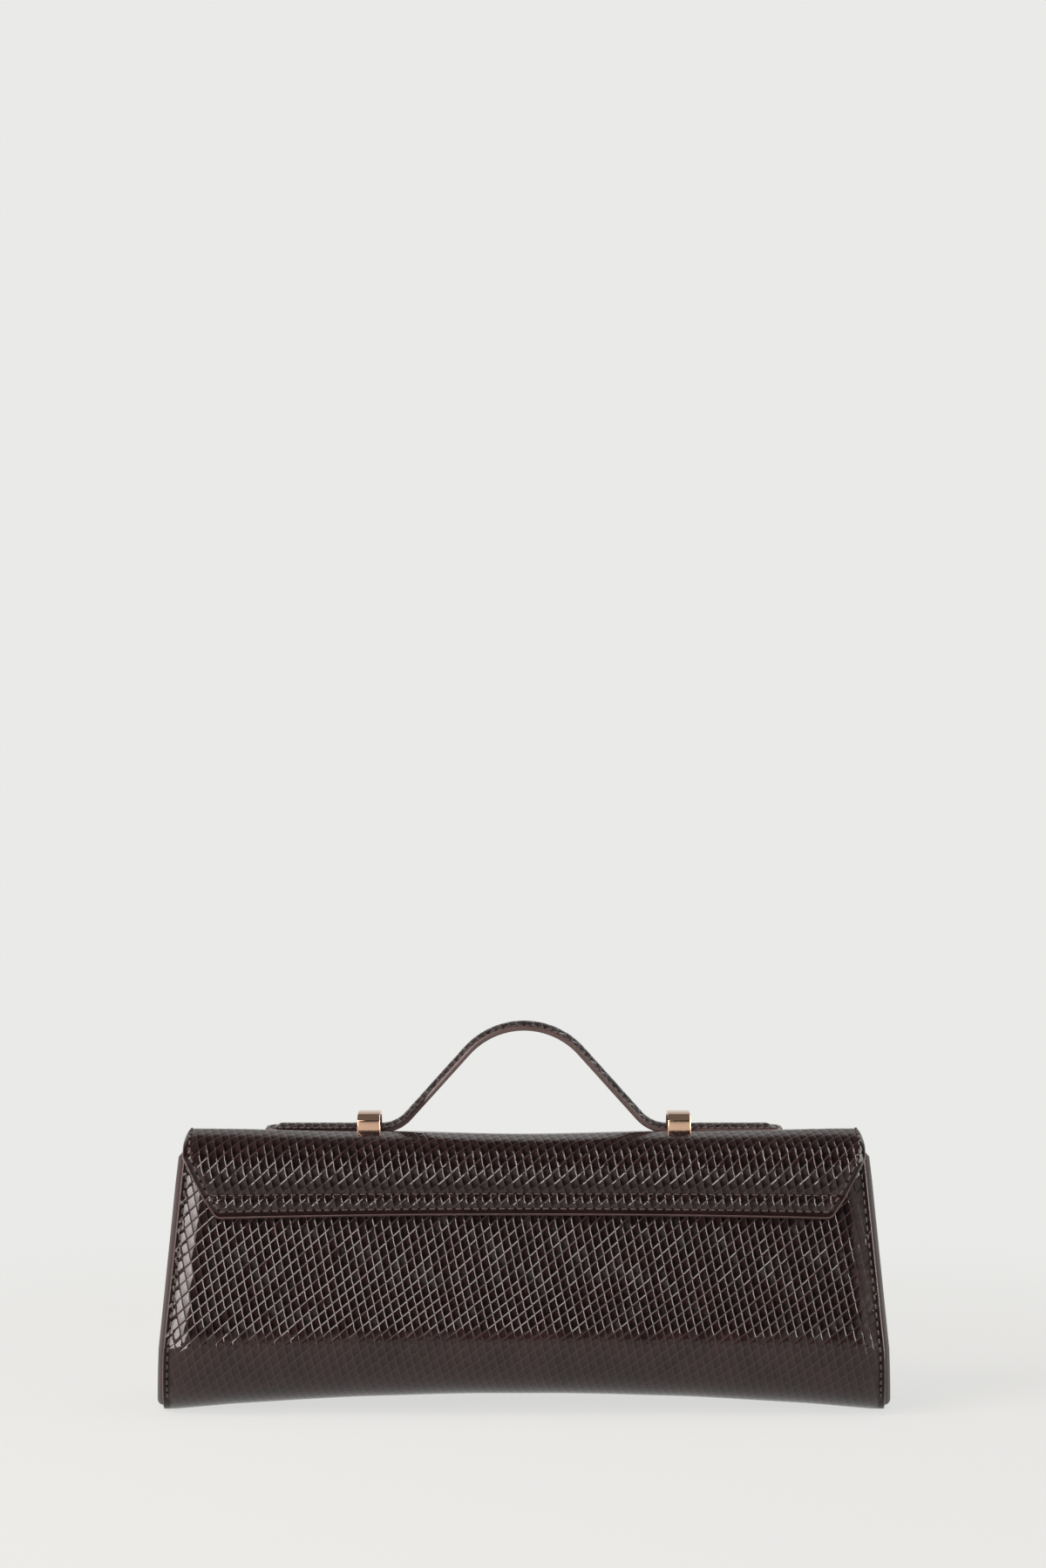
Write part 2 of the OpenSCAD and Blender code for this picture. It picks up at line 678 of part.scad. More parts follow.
body_wrap();
front_board();
back_board();
base_board();
front_foam();
back_foam();
body_lining();
front_facing();
back_facing();
left_gusset();
right_gusset();
left_gusset_lining();
right_gusset_lining();
left_seam_tape();
right_seam_tape();
slip_pocket();
body_magnets();
flap_back_leather();
flap_back_board();
flap_back_lining();
flap_top_leather();
flap_top_board();
flap_top_lining();
left_loop();
right_loop();
left_loop_plate();
right_loop_plate();
loop_screws();
flap_front_leather();
flap_front_board();
flap_front_lining();
flap_magnets();
left_tail_cover();
left_tail_core();
left_tail_backing();
left_leg_cover();
left_leg_core();
left_leg_backing();
crown_cover();
crown_core();
crown_backing();
right_leg_cover();
right_leg_core();
right_leg_backing();
right_tail_cover();
right_tail_core();
right_tail_backing();
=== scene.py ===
# %% [markdown]
# A structured handbag with a fold-over flap, in glossy leather embossed with lozenge scales.
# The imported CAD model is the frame: it holds the sizes and the joints, and nothing here moves it.
# Lengths in this lesson are millimetres until a mesh is made, because a bag maker thinks in them.

# %% Load the frame
import bpy
import bmesh
import math
import numpy as np
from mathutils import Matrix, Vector
from mathutils.geometry import delaunay_2d_cdt


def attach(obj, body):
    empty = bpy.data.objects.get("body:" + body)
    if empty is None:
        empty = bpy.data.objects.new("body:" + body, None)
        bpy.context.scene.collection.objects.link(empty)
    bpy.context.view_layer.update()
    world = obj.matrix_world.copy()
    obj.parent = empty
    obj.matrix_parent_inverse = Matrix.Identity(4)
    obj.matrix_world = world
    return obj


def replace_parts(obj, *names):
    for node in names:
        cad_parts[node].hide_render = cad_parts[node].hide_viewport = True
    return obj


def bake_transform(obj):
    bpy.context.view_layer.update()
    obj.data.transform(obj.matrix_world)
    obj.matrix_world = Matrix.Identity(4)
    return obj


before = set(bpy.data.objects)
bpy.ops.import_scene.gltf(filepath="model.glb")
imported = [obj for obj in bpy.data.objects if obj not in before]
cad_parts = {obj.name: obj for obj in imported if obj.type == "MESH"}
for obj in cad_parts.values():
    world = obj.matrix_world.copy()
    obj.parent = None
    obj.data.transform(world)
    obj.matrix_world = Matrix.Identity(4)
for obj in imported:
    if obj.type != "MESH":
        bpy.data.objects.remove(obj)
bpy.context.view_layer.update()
MM = 0.001

# %% [markdown]
# The photograph was taken level with a point above the handle, from the middle of the front side,
# with a long lens. A camera with no tilt keeps the bag's upright lines upright.

# %% Camera
FOCAL_PX, IMAGE_H, SENSOR = 4185, 1799, 36
camera_data = bpy.data.cameras.new("camera")
camera_data.sensor_width = SENSOR
camera_data.lens = FOCAL_PX / IMAGE_H * SENSOR
camera = bpy.data.objects.new("camera", camera_data)
camera.location = (-0.0004, -1.537, 0.261)
camera.rotation_euler = (math.radians(90), 0, 0)
bpy.context.collection.objects.link(camera)
scene = bpy.context.scene
scene.camera = camera
scene.view_settings.view_transform = "Standard"
print("lens", round(camera_data.lens, 2), "mm")

# %% [markdown]
# Node helpers. A shader is a short list of nodes. Each is placed with its settings and its inputs,
# and an input is either a value or the output of an earlier node, which is then joined to it.

# %% Node helpers
def feed(tree, node, inputs):
    for socket, given in inputs.items():
        if isinstance(given, bpy.types.NodeSocket):
            tree.links.new(given, node.inputs[socket])
        else:
            node.inputs[socket].default_value = given


def place_node(tree, kind, inputs=None, **settings):
    node = tree.nodes.new(kind)
    for key, value in settings.items():
        setattr(node, key, value)
    feed(tree, node, inputs or {})
    return node


def calculate(tree, operation, *terms):
    return place_node(tree, "ShaderNodeMath", dict(enumerate(terms)), operation=operation).outputs[0]


def ramp(tree, value, start, end, low=0.0, high=1.0, **settings):
    """Low up to start, high from end on, and in proportion between them."""
    return place_node(tree, "ShaderNodeMapRange", {0: value, 1: start, 2: end, 3: low, 4: high},
                      **settings).outputs[0]


def blended(tree, share, first, second):
    """One colour that turns into another as the share goes from 0 to 1."""
    return place_node(tree, "ShaderNodeMix", {0: share, 6: first, 7: second}, data_type="RGBA").outputs[2]


def shown_to(tree, path):
    """1 for rays from the eye, off gloss and through glass, 0 for rays that gather light."""
    mirrored = calculate(tree, "MAXIMUM", path["Is Camera Ray"], path["Is Glossy Ray"])
    return calculate(tree, "MAXIMUM", mirrored, path["Is Transmission Ray"])


def rgba(colour):
    return (*colour, 1.0)


# %% [markdown]
# The studio is pale: a floor that runs out of sight and a world of the same pale grey. Glossy leather
# mirrors its room, and in the photograph the front panel is dark. So in reflections alone the world
# stays pale straight behind the bag and in a low band all round, is dark elsewhere, and is faintly
# lit at the ceiling. Light Path tells the rays apart.

# %% World
PALE = (0.822, 0.822, 0.806)
DARK_ROOM = (0.02, 0.02, 0.02)
AMBIENT = 0.20
# Share of the dark room by direction: along Y away from the backdrop, above the low band, and
# what is left of it at the ceiling
BACKDROP, LOW_BAND, CEILING = (0.995, 0.6), (0.146, 0.154), (0.72, 0.9, 1.0, 0.80)
world = bpy.data.worlds.new("studio")
scene.world = world
world.use_nodes = True
tree = world.node_tree
tree.nodes.clear()
path = place_node(tree, "ShaderNodeLightPath").outputs
look = place_node(tree, "ShaderNodeTexCoord").outputs["Generated"]
way = place_node(tree, "ShaderNodeSeparateXYZ", {0: look}).outputs
dark = calculate(tree, "MULTIPLY", ramp(tree, way["Y"], *BACKDROP), ramp(tree, way["Z"], *LOW_BAND))
dark = calculate(tree, "MULTIPLY", dark, ramp(tree, way["Z"], *CEILING))
room = blended(tree, calculate(tree, "MULTIPLY", dark, path["Is Glossy Ray"]), rgba(PALE), rgba(DARK_ROOM))
shown = place_node(tree, "ShaderNodeBackground", {0: room, 1: 1.0}).outputs[0]
lighting = place_node(tree, "ShaderNodeBackground", {0: rgba((1, 1, 1)), 1: AMBIENT}).outputs[0]
either = place_node(tree, "ShaderNodeMixShader", {0: shown_to(tree, path), 1: lighting, 2: shown})
place_node(tree, "ShaderNodeOutputWorld", {0: either.outputs[0]})
print("world: pale for the eye, mostly dark in gloss, with", AMBIENT, "of plain light")

# %% [markdown]
# The floor is one large plain sheet. Far away it glows with the world's own grey for the camera, so
# that no horizon shows. Near the bag it's mostly glow too, and the rest is an ordinary pale surface
# that takes the soft shadow.

# %% Floor
FLOOR_HALF, NEAR_FLOOR, FAR_FLOOR, NEAR_GLOW = 30.0, 0.25, 0.62, 0.8
FLOOR_WHITE = (0.78, 0.78, 0.765)
bpy.ops.mesh.primitive_plane_add(size=2 * FLOOR_HALF, location=(0, 0, 0))
floor = bpy.context.object
floor.name = "floor"
pale = bpy.data.materials.new("pale_floor")
pale.use_nodes = True
tree = pale.node_tree
tree.nodes.clear()
path = place_node(tree, "ShaderNodeLightPath").outputs
where = place_node(tree, "ShaderNodeTexCoord").outputs["Object"]
far = place_node(tree, "ShaderNodeVectorMath", {0: where}, operation="LENGTH").outputs["Value"]
fade = ramp(tree, far, NEAR_FLOOR, FAR_FLOOR, NEAR_GLOW, interpolation_type="SMOOTHSTEP")
share = calculate(tree, "MULTIPLY", fade, shown_to(tree, path))
matt = place_node(tree, "ShaderNodeBsdfDiffuse", {0: rgba(FLOOR_WHITE)}).outputs[0]
glow = place_node(tree, "ShaderNodeEmission", {0: rgba(PALE), 1: 1.0}).outputs[0]
either = place_node(tree, "ShaderNodeMixShader", {0: share, 1: matt, 2: glow})
place_node(tree, "ShaderNodeOutputMaterial", {0: either.outputs[0]})
floor.data.materials.append(pale)
print("floor", 2 * FLOOR_HALF, "m wide")

# %% [markdown]
# Soft boxes give the highlights of the photograph. The strong one at the left whitens the panel's
# curved left edge, and the high and far left ones draw the lines between the scales. The boxes at the
# right and the side show in the gloss alone, as thin lines on the scales' right flanks. The fill and
# the box on top do the opposite: they light the leather without being mirrored in it.

# %% Lights
WARM = (1.0, 0.93, 0.91)


def soft_box(name, at, aim, width, height, radiance, mirrored=True, lights=True):
    """An area light whose brightness is given as seen, where 1 is white."""
    data = bpy.data.lights.new(name, "AREA")
    data.shape = "RECTANGLE"
    data.size, data.size_y = width, height
    data.energy = radiance * width * height * math.pi
    data.color = WARM
    lamp = bpy.data.objects.new(name, data)
    lamp.location = at
    lamp.rotation_euler = (Vector(at) - Vector(aim)).to_track_quat("Z", "Y").to_euler()
    bpy.context.collection.objects.link(lamp)
    lamp.visible_glossy, lamp.visible_diffuse = mirrored, lights
    lamp.visible_camera = False


soft_box("left_box", (-1.378, -1.729, 0.68), (-0.14, 0, 0.68), 0.82, 0.90, 13.0)
soft_box("right_box", (1.93, -0.71, 0.84), (0, 0, 0.84), 1.0, 1.64, 12.5, lights=False)
soft_box("side_box", (1.539, 0.441, 1.296), (0, 0, 0.1), 1.5, 0.85, 6.0, lights=False)
soft_box("high_box", (-1.208, -1.014, 1.404), (0, 0, 0.08), 1.7, 0.9, 2.6)
soft_box("far_left_box", (-1.413, -0.721, 1.404), (0, 0, 0.08), 0.7, 0.8, 8.0)
soft_box("low_right_box", (1.378, -1.729, 0.68), (0.14, 0, 0.68), 0.82, 0.90, 0.9)
soft_box("right_fill", (1.8, -0.4, 0.55), (0, 0, 0.1), 1.2, 0.9, 1.8, mirrored=False)
soft_box("top_box", (0, 0.1, 2.0), (0, 0, 0.1), 1.6, 1.2, 2.0, mirrored=False)

# %% [markdown]
# Leather isn't one brown. Its colour drifts over the hide, the dressing is rougher here than there,
# and the surface has a fine grain. One shader group makes all three, and each material that uses it
# gives its own colours and sizes.

# %% Surface detail group
def group_socket(group, name, kind, value=None, way="INPUT"):
    socket = group.interface.new_socket(name=name, in_out=way, socket_type=kind)
    if value is not None:
        socket.default_value = value
    return socket


detail = bpy.data.node_groups.new("surface_detail", "ShaderNodeTree")
for name, kind, value in (
        ("Dark", "NodeSocketColor", rgba((0.02, 0.01, 0.01))),
        ("Light", "NodeSocketColor", rgba((0.04, 0.03, 0.03))),
        ("Drift Scale", "NodeSocketFloat", 40.0), ("Grain Scale", "NodeSocketFloat", 1500.0),
        ("Grain Depth", "NodeSocketFloat", 0.1), ("Rough Low", "NodeSocketFloat", 0.4),
        ("Rough High", "NodeSocketFloat", 0.5), ("Stretch", "NodeSocketVector", (1, 1, 1))):
    group_socket(detail, name, kind, value)
for name, kind in (("Color", "NodeSocketColor"), ("Roughness", "NodeSocketFloat"),
                   ("Normal", "NodeSocketVector")):
    group_socket(detail, name, kind, way="OUTPUT")
SPECK_SHARE, SPREAD, GRAIN_STEP = 0.35, (0.32, 0.68), 0.0002
given = place_node(detail, "NodeGroupInput").outputs
where = place_node(detail, "ShaderNodeTexCoord").outputs["Object"]
stretched = place_node(detail, "ShaderNodeVectorMath", {0: where, 1: given["Stretch"]},
                       operation="MULTIPLY").outputs[0]
drift, speck = (place_node(detail, "ShaderNodeTexNoise",
                           {"Vector": stretched, "Scale": given[scale], "Detail": fine,
                            "Roughness": rough}).outputs[0]
                for scale, fine, rough in (("Drift Scale", 4.0, 0.6), ("Grain Scale", 3.0, 0.65)))
both = place_node(detail, "ShaderNodeMix", {0: SPECK_SHARE, 2: drift, 3: speck}, data_type="FLOAT")
spread = ramp(detail, both.outputs[0], *SPREAD)
rough = place_node(detail, "ShaderNodeMix", {0: spread, 2: given["Rough Low"], 3: given["Rough High"]},
                   data_type="FLOAT")
bump = place_node(detail, "ShaderNodeBump",
                  {"Distance": GRAIN_STEP, "Strength": given["Grain Depth"], "Height": speck})
place_node(detail, "NodeGroupOutput", {"Color": blended(detail, spread, given["Dark"], given["Light"]),
                                       "Roughness": rough.outputs[0], "Normal": bump.outputs[0]})
print("group", detail.name, "with", len(detail.nodes), "nodes")

# %% Material maker
# Share of the coat kept where the painted shade on the scales is full, so the painted shade takes off
# reflections as well
SHADE_GLOSS = 0.06


def material(name, dark, light, rough, drift=40.0, grain=1500.0, depth=0.1, metal=0.0, coat=0.0,
             coat_rough=0.1, sheen=0.0, specular=0.5, stretch=(1, 1, 1), shade_colour=None, line=None):
    """A finish from the surface detail group. On relief, the shade attribute paints shade above 0, darker
    and with less coat, and paints a lighter highlight below.
    """
    made = bpy.data.materials.new(name)
    made.use_nodes = True
    tree = made.node_tree
    shader = tree.nodes["Principled BSDF"]
    group = place_node(tree, "ShaderNodeGroup", {
        "Dark": rgba(dark), "Light": rgba(light), "Drift Scale": drift, "Grain Scale": grain,
        "Grain Depth": depth, "Rough Low": rough[0], "Rough High": rough[1], "Stretch": stretch},
        node_tree=detail).outputs
    feed(tree, shader, {"Base Color": group["Color"], "Roughness": group["Roughness"],
                        "Normal": group["Normal"], "Metallic": metal, "Coat Weight": coat,
                        "Coat Roughness": coat_rough, "Sheen Weight": sheen,
                        "Specular IOR Level": specular})
    if shade_colour:
        # Painted light from the shade attribute: above 0 a painted shade darkens the colour and takes off
        # the coat, below 0 a painted highlight lightens it
        shade = place_node(tree, "ShaderNodeAttribute", attribute_name="shade").outputs["Fac"]
        shaded = blended(tree, shade, group["Color"], rgba(shade_colour))
        highlighted = blended(tree, ramp(tree, shade, 0.0, -1.0), shaded, rgba(line))
        shaded_coat = ramp(tree, shade, 0.0, 1.0, coat, coat * SHADE_GLOSS)
        feed(tree, shader, {"Base Color": highlighted, "Coat Weight": shaded_coat})
    return made


# %% [markdown]
# The finishes, one for each stuff the bag is made of. The hide is a dark brown under a hard glossy
# dressing, which is a clear coat. Cut edges are painted and a little lighter. The lining is a brushed
# cloth with sheen, and the fittings are plated in a pale rose gold.

# %% Finishes
finish = {
    # The hide's last two colours are painted light: a near black painted shade on each scale's lower left
    # and a lighter painted highlight on the lines between scales
    "hide": material("embossed_hide", (0.0125, 0.0060, 0.0060), (0.0330, 0.0154, 0.0149), (0.5, 0.62),
                     drift=90, grain=2600, depth=0.12, coat=0.85, coat_rough=0.06, specular=0.02,
                     shade_colour=(0.002, 0.001, 0.001), line=(0.085, 0.050, 0.045)),
    "smooth": material("smooth_hide", (0.038, 0.0215, 0.0205), (0.056, 0.033, 0.031), (0.4, 0.55),
                       drift=35, grain=1900, depth=0.25, coat=0.08, coat_rough=0.22, specular=0.12),
    "edge": material("edge_paint", (0.064, 0.038, 0.034), (0.096, 0.058, 0.053), (0.3, 0.42),
                     drift=120, grain=900, depth=0.12, coat=0.12, coat_rough=0.3),
    "lining": material("brushed_lining", (0.085, 0.055, 0.042), (0.125, 0.084, 0.066), (0.8, 0.95),
                       drift=25, grain=2400, depth=0.5, sheen=0.5, specular=0.25),
    "gold": material("rose_gold", (0.66, 0.42, 0.29), (0.74, 0.49, 0.35), (0.12, 0.2),
                     drift=160, grain=700, depth=0.03, metal=1.0, stretch=(1, 6, 1)),
    "thread": material("waxed_thread", (0.045, 0.024, 0.020), (0.080, 0.045, 0.037), (0.4, 0.55),
                       drift=500, grain=4200, depth=0.4, sheen=0.2),
    # Near black blobs at the punched holes beside the stitches: the holes are real, their darkness is a
    # painted shade
    "hole_shade": material("hole_painted_shade", (0.003, 0.002, 0.002), (0.008, 0.005, 0.005), (0.8, 0.9),
                     drift=500, grain=3000, depth=0.2, specular=0.1),
    "board": material("bonded_board", (0.22, 0.17, 0.12), (0.32, 0.26, 0.19), (0.8, 0.92),
                      drift=90, grain=1300, depth=0.5, specular=0.3),
    "foam": material("felt_wadding", (0.55, 0.52, 0.45), (0.68, 0.65, 0.57), (0.88, 0.98),
                     drift=120, grain=1700, depth=0.7, sheen=0.3, specular=0.2),
    "tape": material("woven_tape", (0.20, 0.16, 0.12), (0.34, 0.29, 0.23), (0.75, 0.9),
                     drift=700, grain=1900, depth=0.6, stretch=(1, 1, 3), specular=0.3),
    "steel": material("zinc_steel", (0.42, 0.42, 0.44), (0.58, 0.58, 0.6), (0.26, 0.42),
                      drift=150, grain=900, depth=0.08, metal=1.0),
}
print("finishes:", ", ".join(finish))

# %% [markdown]
# Sizes. These repeat the CAD model's own sizes, so that each leather piece lies where its solid does.

# %% Sizes of the body
BASE_W, TOP_W, MOUTH_Z, MOUTH_HALF = 294.6, 280.6, 107.0, 25.0
TURN_Y, TURN_R, LEAN = 11.0, 26.0, math.radians(8.6331)
SEAM_W, SEAM_DROP, FOOT_W = 14.0, 3.0, 4.5
ARCH_RISE, ARCH_FADE = 6.6, 55.0
HIDE_T, PANEL_T = 1.3, 4.7
print("body", BASE_W, "mm wide at the base,", TOP_W, "at the mouth")


# %% Section helpers
NORMAL_REACH = 0.4


def run_of(points):
    """A line in two coordinates, with the length run to each point."""
    points = np.array(points, float)
    steps = np.linalg.norm(np.diff(points, axis=0), axis=1)
    return points, np.concatenate([[0.0], np.cumsum(steps)])


def at_length(run, length):
    """The two coordinates of a line at some lengths along it."""
    return [np.interp(length, run[1], run[0][:, i]) for i in (0, 1)]


def unit(vectors):
    return vectors / np.linalg.norm(vectors, axis=-1, keepdims=True)


def along(run, v):
    """Place and outward normal on a section line, at lengths v along it."""
    last = run[1][-1]
    held = np.clip(v, 0, last)
    (a, b), (a0, b0), (a1, b1) = (at_length(run, at) for at in (
        held, np.maximum(held - NORMAL_REACH, 0), np.minimum(held + NORMAL_REACH, last)))
    size = np.hypot(a1 - a0, b1 - b0)
    da, db = (a1 - a0) / size, (b1 - b0) / size
    return a + da * (v - held), b + db * (v - held), -db, da


def mix(a, b, share):
    return a + (b - a) * share


def arc(centre, radius, start, end, steps):
    turns = np.radians(np.linspace(start, end, steps + 1))
    return [(centre[0] + radius * math.cos(t), centre[1] + radius * math.sin(t)) for t in turns]


# %% [markdown]
# The body is one hide that runs from the mouth down the front, round the base and up the back. Its
# section is a line in Y and Z, and a point of the flat hide is found by its distance v along that
# line. The side edges fall back a little and the base is arched, which happens after the bending.

# %% Body section
lean_deg = math.degrees(LEAN)
body_run = run_of([(0, 0)] + arc((-TURN_Y, TURN_R), TURN_R, 270, 180 - lean_deg, 40)
                  + [(-MOUTH_HALF, MOUTH_Z)])
BODY_V = body_run[1][-1]


def half_w(z):
    return mix(BASE_W, TOP_W, np.clip((z - TURN_R) / (MOUTH_Z - TURN_R), 0, 1)) / 2


def body_place(x, v, h, width=None):
    """A point of the body: x across, v up the front or, below zero, up the back, h outwards."""
    y, z, ny, nz = along(body_run, np.abs(v))
    y, z = y + ny * h, z + nz * h
    half = width(v) if width else half_w(z)
    edge = np.maximum(half - np.abs(x), 0)
    y = y - ny * SEAM_DROP * np.maximum(0, 1 - edge / SEAM_W) ** 2
    across = np.minimum(1, np.abs(x) / (half - FOOT_W))
    z = z + ARCH_RISE * (1 - across ** 2) * np.maximum(0, 1 - z / ARCH_FADE)
    return np.stack([x, np.where(v < 0, -y, y), np.maximum(z, 0)], -1)


def body_v(z):
    """The length along the section at a height on the wall or the upper part of the turn."""
    points, length = body_run
    return float(np.interp(z, points[1:, 1], length[1:]))


WIDE_V = body_v(TURN_R)
FOOT_HALF, WIDE_HALF, TOP_HALF = 150.4, 148.5, 141.0


def hide_w(v):
    """Half the hide's width: its cut edges stand a little outside the panel, most at the foot."""
    return np.interp(np.abs(v), (0, WIDE_V, BODY_V), (FOOT_HALF, WIDE_HALF, TOP_HALF))


def hide_place(x, v, h):
    return body_place(x, v, h, hide_w)


print("the hide runs", round(2 * BODY_V, 1), "mm from mouth to mouth")

# %% [markdown]
# The embossing is a traditional lozenge scale: two sets of slanting grooves with a low cushion
# between them. It's real geometry, because glossy leather shows every slope. Each lozenge is three
# rings of points, laid out flat on a lattice, cut to the piece's outline, and then bent to its place.

# %% Lozenge lattice
STEP_A, STEP_B = np.array([0.98, -4.57]), np.array([2.86, 2.63])
GROOVE, CUSHION, KINK = 0.19, 0.01, 0.15
# Corners and side points of a lozenge as shares of the two steps, with a sideways kink
LOZENGE = ((-0.5, -0.5, 0), (-0.5, 0.5, 0), (0, 0.5, 1), (0.5, 0.5, 0), (0.5, -0.5, 0), (0, -0.5, 1))
RINGS = ((1.0, -GROOVE), (0.82, 0.0), (0.45, CUSHION))
# Each scale is painted darker towards its lower left, a painted shade that also takes the coat off: its
# share at the same six points
SCALE_SHADE = np.array([0.8, 0.15, 0.0, 0.5, 1.0, 1.0])
# The groove ring gets a negative share, a painted highlight along the lines between the scales, and the
# inner rings carry the painted shade
RING_SHADE = (0 * SCALE_SHADE - 0.6, SCALE_SHADE, 0.95 * SCALE_SHADE)
SCALE_SEED, SCALE_LEAN, OVERLAP, STEPS_PER_MM = 7, 0.018, 4, 200


def lozenges(low, high):
    """Flat points (x, v, relief, painted shade) and faces of the lattice over a box."""
    basis = np.array([STEP_A, STEP_B])
    corners = np.array([(x, v) for x in (low[0], high[0]) for v in (low[1], high[1])])
    shares = corners @ np.linalg.inv(basis)
    first, last = np.floor(shares.min(0)) - 1, np.ceil(shares.max(0)) + 1
    i, j = np.meshgrid(np.arange(first[0], last[0] + 1), np.arange(first[1], last[1] + 1), indexing="ij")
    centres = i.reshape(-1, 1) * STEP_A + j.reshape(-1, 1) * STEP_B
    keep = ((centres > np.array(low) - OVERLAP) & (centres < np.array(high) + OVERLAP)).all(1)
    centres = centres[keep]
    shape = np.array([s * STEP_A + t * STEP_B - np.array([KINK, 0]) * k for s, t, k in LOZENGE])
    points = np.concatenate(
        [np.concatenate([centres[:, None] + shape * share,
                         np.full((len(centres), len(shape), 1), height),
                         np.tile(painted_shade[:, None], (len(centres), 1, 1))], 2)
         for (share, height), painted_shade in zip(RINGS, RING_SHADE)], 1)
    lean = np.random.default_rng(SCALE_SEED).uniform(-SCALE_LEAN, SCALE_LEAN, (len(centres), 1, 2))
    raised = points[:, len(shape):]
    raised[:, :, 2] += ((raised[:, :, :2] - centres[:, None]) * lean).sum(2)
    n, per = len(shape), len(shape) * len(RINGS)
    walls = [(ring * n + k, ring * n + (k + 1) % n) for ring in range(len(RINGS) - 1) for k in range(n)]
    tops = [[per - n + k for k in quad] for quad in ((0, 1, 2, 5), (2, 3, 4, 5))]
    cell = [(a, b, b + n, a + n) for a, b in walls] + tops
    flat = points.reshape(-1, 4)
    keys = np.round(flat * STEPS_PER_MM).astype(np.int64)
    _, index, where = np.unique(keys, axis=0, return_index=True, return_inverse=True)
    where = where.reshape(-1)
    faces = [tuple(int(where[c * per + q]) for q in face) for c in range(len(centres)) for face in cell]
    return flat[index], faces


points, faces = lozenges((0, 0), (30, 30))
area = sum(np.cross(points[f[1], :2] - points[f[0], :2], points[f[2], :2] - points[f[1], :2])
           for f in faces)
print("a test patch has", len(faces), "faces, turned", "up" if area > 0 else "down")


# %% Outline helpers
CORNER_POINTS, ROW_REACH, WELD, RIM_CLEARANCE = 7, 3, 0.004, 0.35


def rounded(outline, corners):
    """An outline with some corners, {index: radius}, turned into short arcs."""
    made = []
    for k, p in enumerate(outline):
        p, before, after = (np.array(outline[i % len(outline)], float) for i in (k, k - 1, k + 1))
        if k not in corners:
            made.append(p)
            continue
        a, b = unit(before - p), unit(after - p)
        reach = corners[k] / math.tan(math.acos(float(a @ b)) / 2)
        for t in np.linspace(0, 1, CORNER_POINTS):
            q0, q1 = p + a * reach * (1 - t), p + b * reach * t
            made.append(mix(q0, q1, t))
    return np.array(made)


def edge_distance(outline, x, v):
    """How far points lie inside a convex outline that runs to the left."""
    nearest = np.full(np.shape(x), 1e9)
    for a, b in zip(outline, np.roll(outline, -1, 0)):
        d = (b - a) / max(np.linalg.norm(b - a), 1e-9)
        nearest = np.minimum(nearest, d[0] * (v - a[1]) - d[1] * (x - a[0]))
    return nearest


def clipped(points, faces, outline, rows=()):
    """Flat faces cut to a convex outline, and across at some rows: points, faces and the rim's loop."""
    bm = bmesh.new()
    painted_shade = bm.verts.layers.float.new("painted_shade")
    verts = [bm.verts.new(p[:3]) for p in points]
    for vert, p in zip(verts, points):
        vert[painted_shade] = p[3]
    for face in faces:
        bm.faces.new([verts[i] for i in face])
    for a, b in zip(outline, np.roll(outline, -1, 0)):
        if np.linalg.norm(b - a) < 1e-6:
            continue
        out = (b[1] - a[1], a[0] - b[0], 0)
        bmesh.ops.bisect_plane(bm, geom=bm.verts[:] + bm.edges[:] + bm.faces[:], dist=1e-4,
                               plane_co=(a[0], a[1], 0), plane_no=out, clear_outer=True)
    for row in rows:
        near = [f for f in bm.faces if abs(f.calc_center_median().y - row) < ROW_REACH]
        edges = {e for f in near for e in f.edges}
        corners = {v for f in near for v in f.verts}
        bmesh.ops.bisect_plane(bm, geom=[*corners, *edges, *near], dist=1e-3,
                               plane_co=(0, row, 0), plane_no=(0, 1, 0))
    bmesh.ops.remove_doubles(bm, verts=bm.verts, dist=WELD)
    loose = [v for v in bm.verts if not v.link_faces]
    bmesh.ops.delete(bm, geom=loose, context="VERTS")
    bm.verts.index_update()
    points = np.array([(*v.co, v[painted_shade]) for v in bm.verts])
    faces = [tuple(v.index for v in f.verts) for f in bm.faces]
    after = {}
    for e in bm.edges:
        if len(e.link_loops) == 1:
            corner = e.link_loops[0]
            after[corner.vert.index] = corner.link_loop_next.vert.index
    bm.free()
    start = next(iter(after))
    loop, here = [start], after[start]
    while here != start:
        loop.append(here)
        here = after[here]
    return points, faces, loop


def infill(loop_points, pitch, outline):
    """Triangles over a rim's loop with a grid inside it. The loop's points come first."""
    low, high = loop_points.min(0), loop_points.max(0)
    gx, gv = np.meshgrid(np.arange(low[0] + pitch / 2, high[0], pitch),
                         np.arange(low[1] + pitch / 2, high[1], pitch))
    gx, gv = gx.ravel(), gv.ravel()
    inside = edge_distance(outline, gx, gv) > pitch * RIM_CLEARANCE
    flat = np.concatenate([loop_points, np.stack([gx, gv], 1)[inside]])
    n = len(loop_points)
    edges = [(i, (i + 1) % n) for i in range(n)]
    made = delaunay_2d_cdt([Vector(p) for p in flat], edges, [list(range(n))], 1, 1e-7)
    new_points = np.array([(p[0], p[1]) for p in made[0]])
    source = [o[0] if o else -1 for o in made[3]]
    return new_points, [tuple(f) for f in made[2]], source


# %% [markdown]
# A finished leather piece is a closed solid: the embossed outer face, a plain inner face at the
# leather's thickness, and a rim between them. The same maker does smooth pieces, whose outer face is
# a plain net of triangles in place of the lozenges.

# %% Piece makers
# At the border the relief fades in over a short way. Painted shade on the plain margin, and the share
# of the painted highlight on the lines between the scales that is left where the print is shallowest
MARGIN_FADE, MARGIN_SHADE, HIGHLIGHT_KEPT = 0.8, 0.6, 0.4


def add_object(name, mesh):
    obj = bpy.data.objects.new(name, mesh)
    bpy.context.collection.objects.link(obj)
    return obj


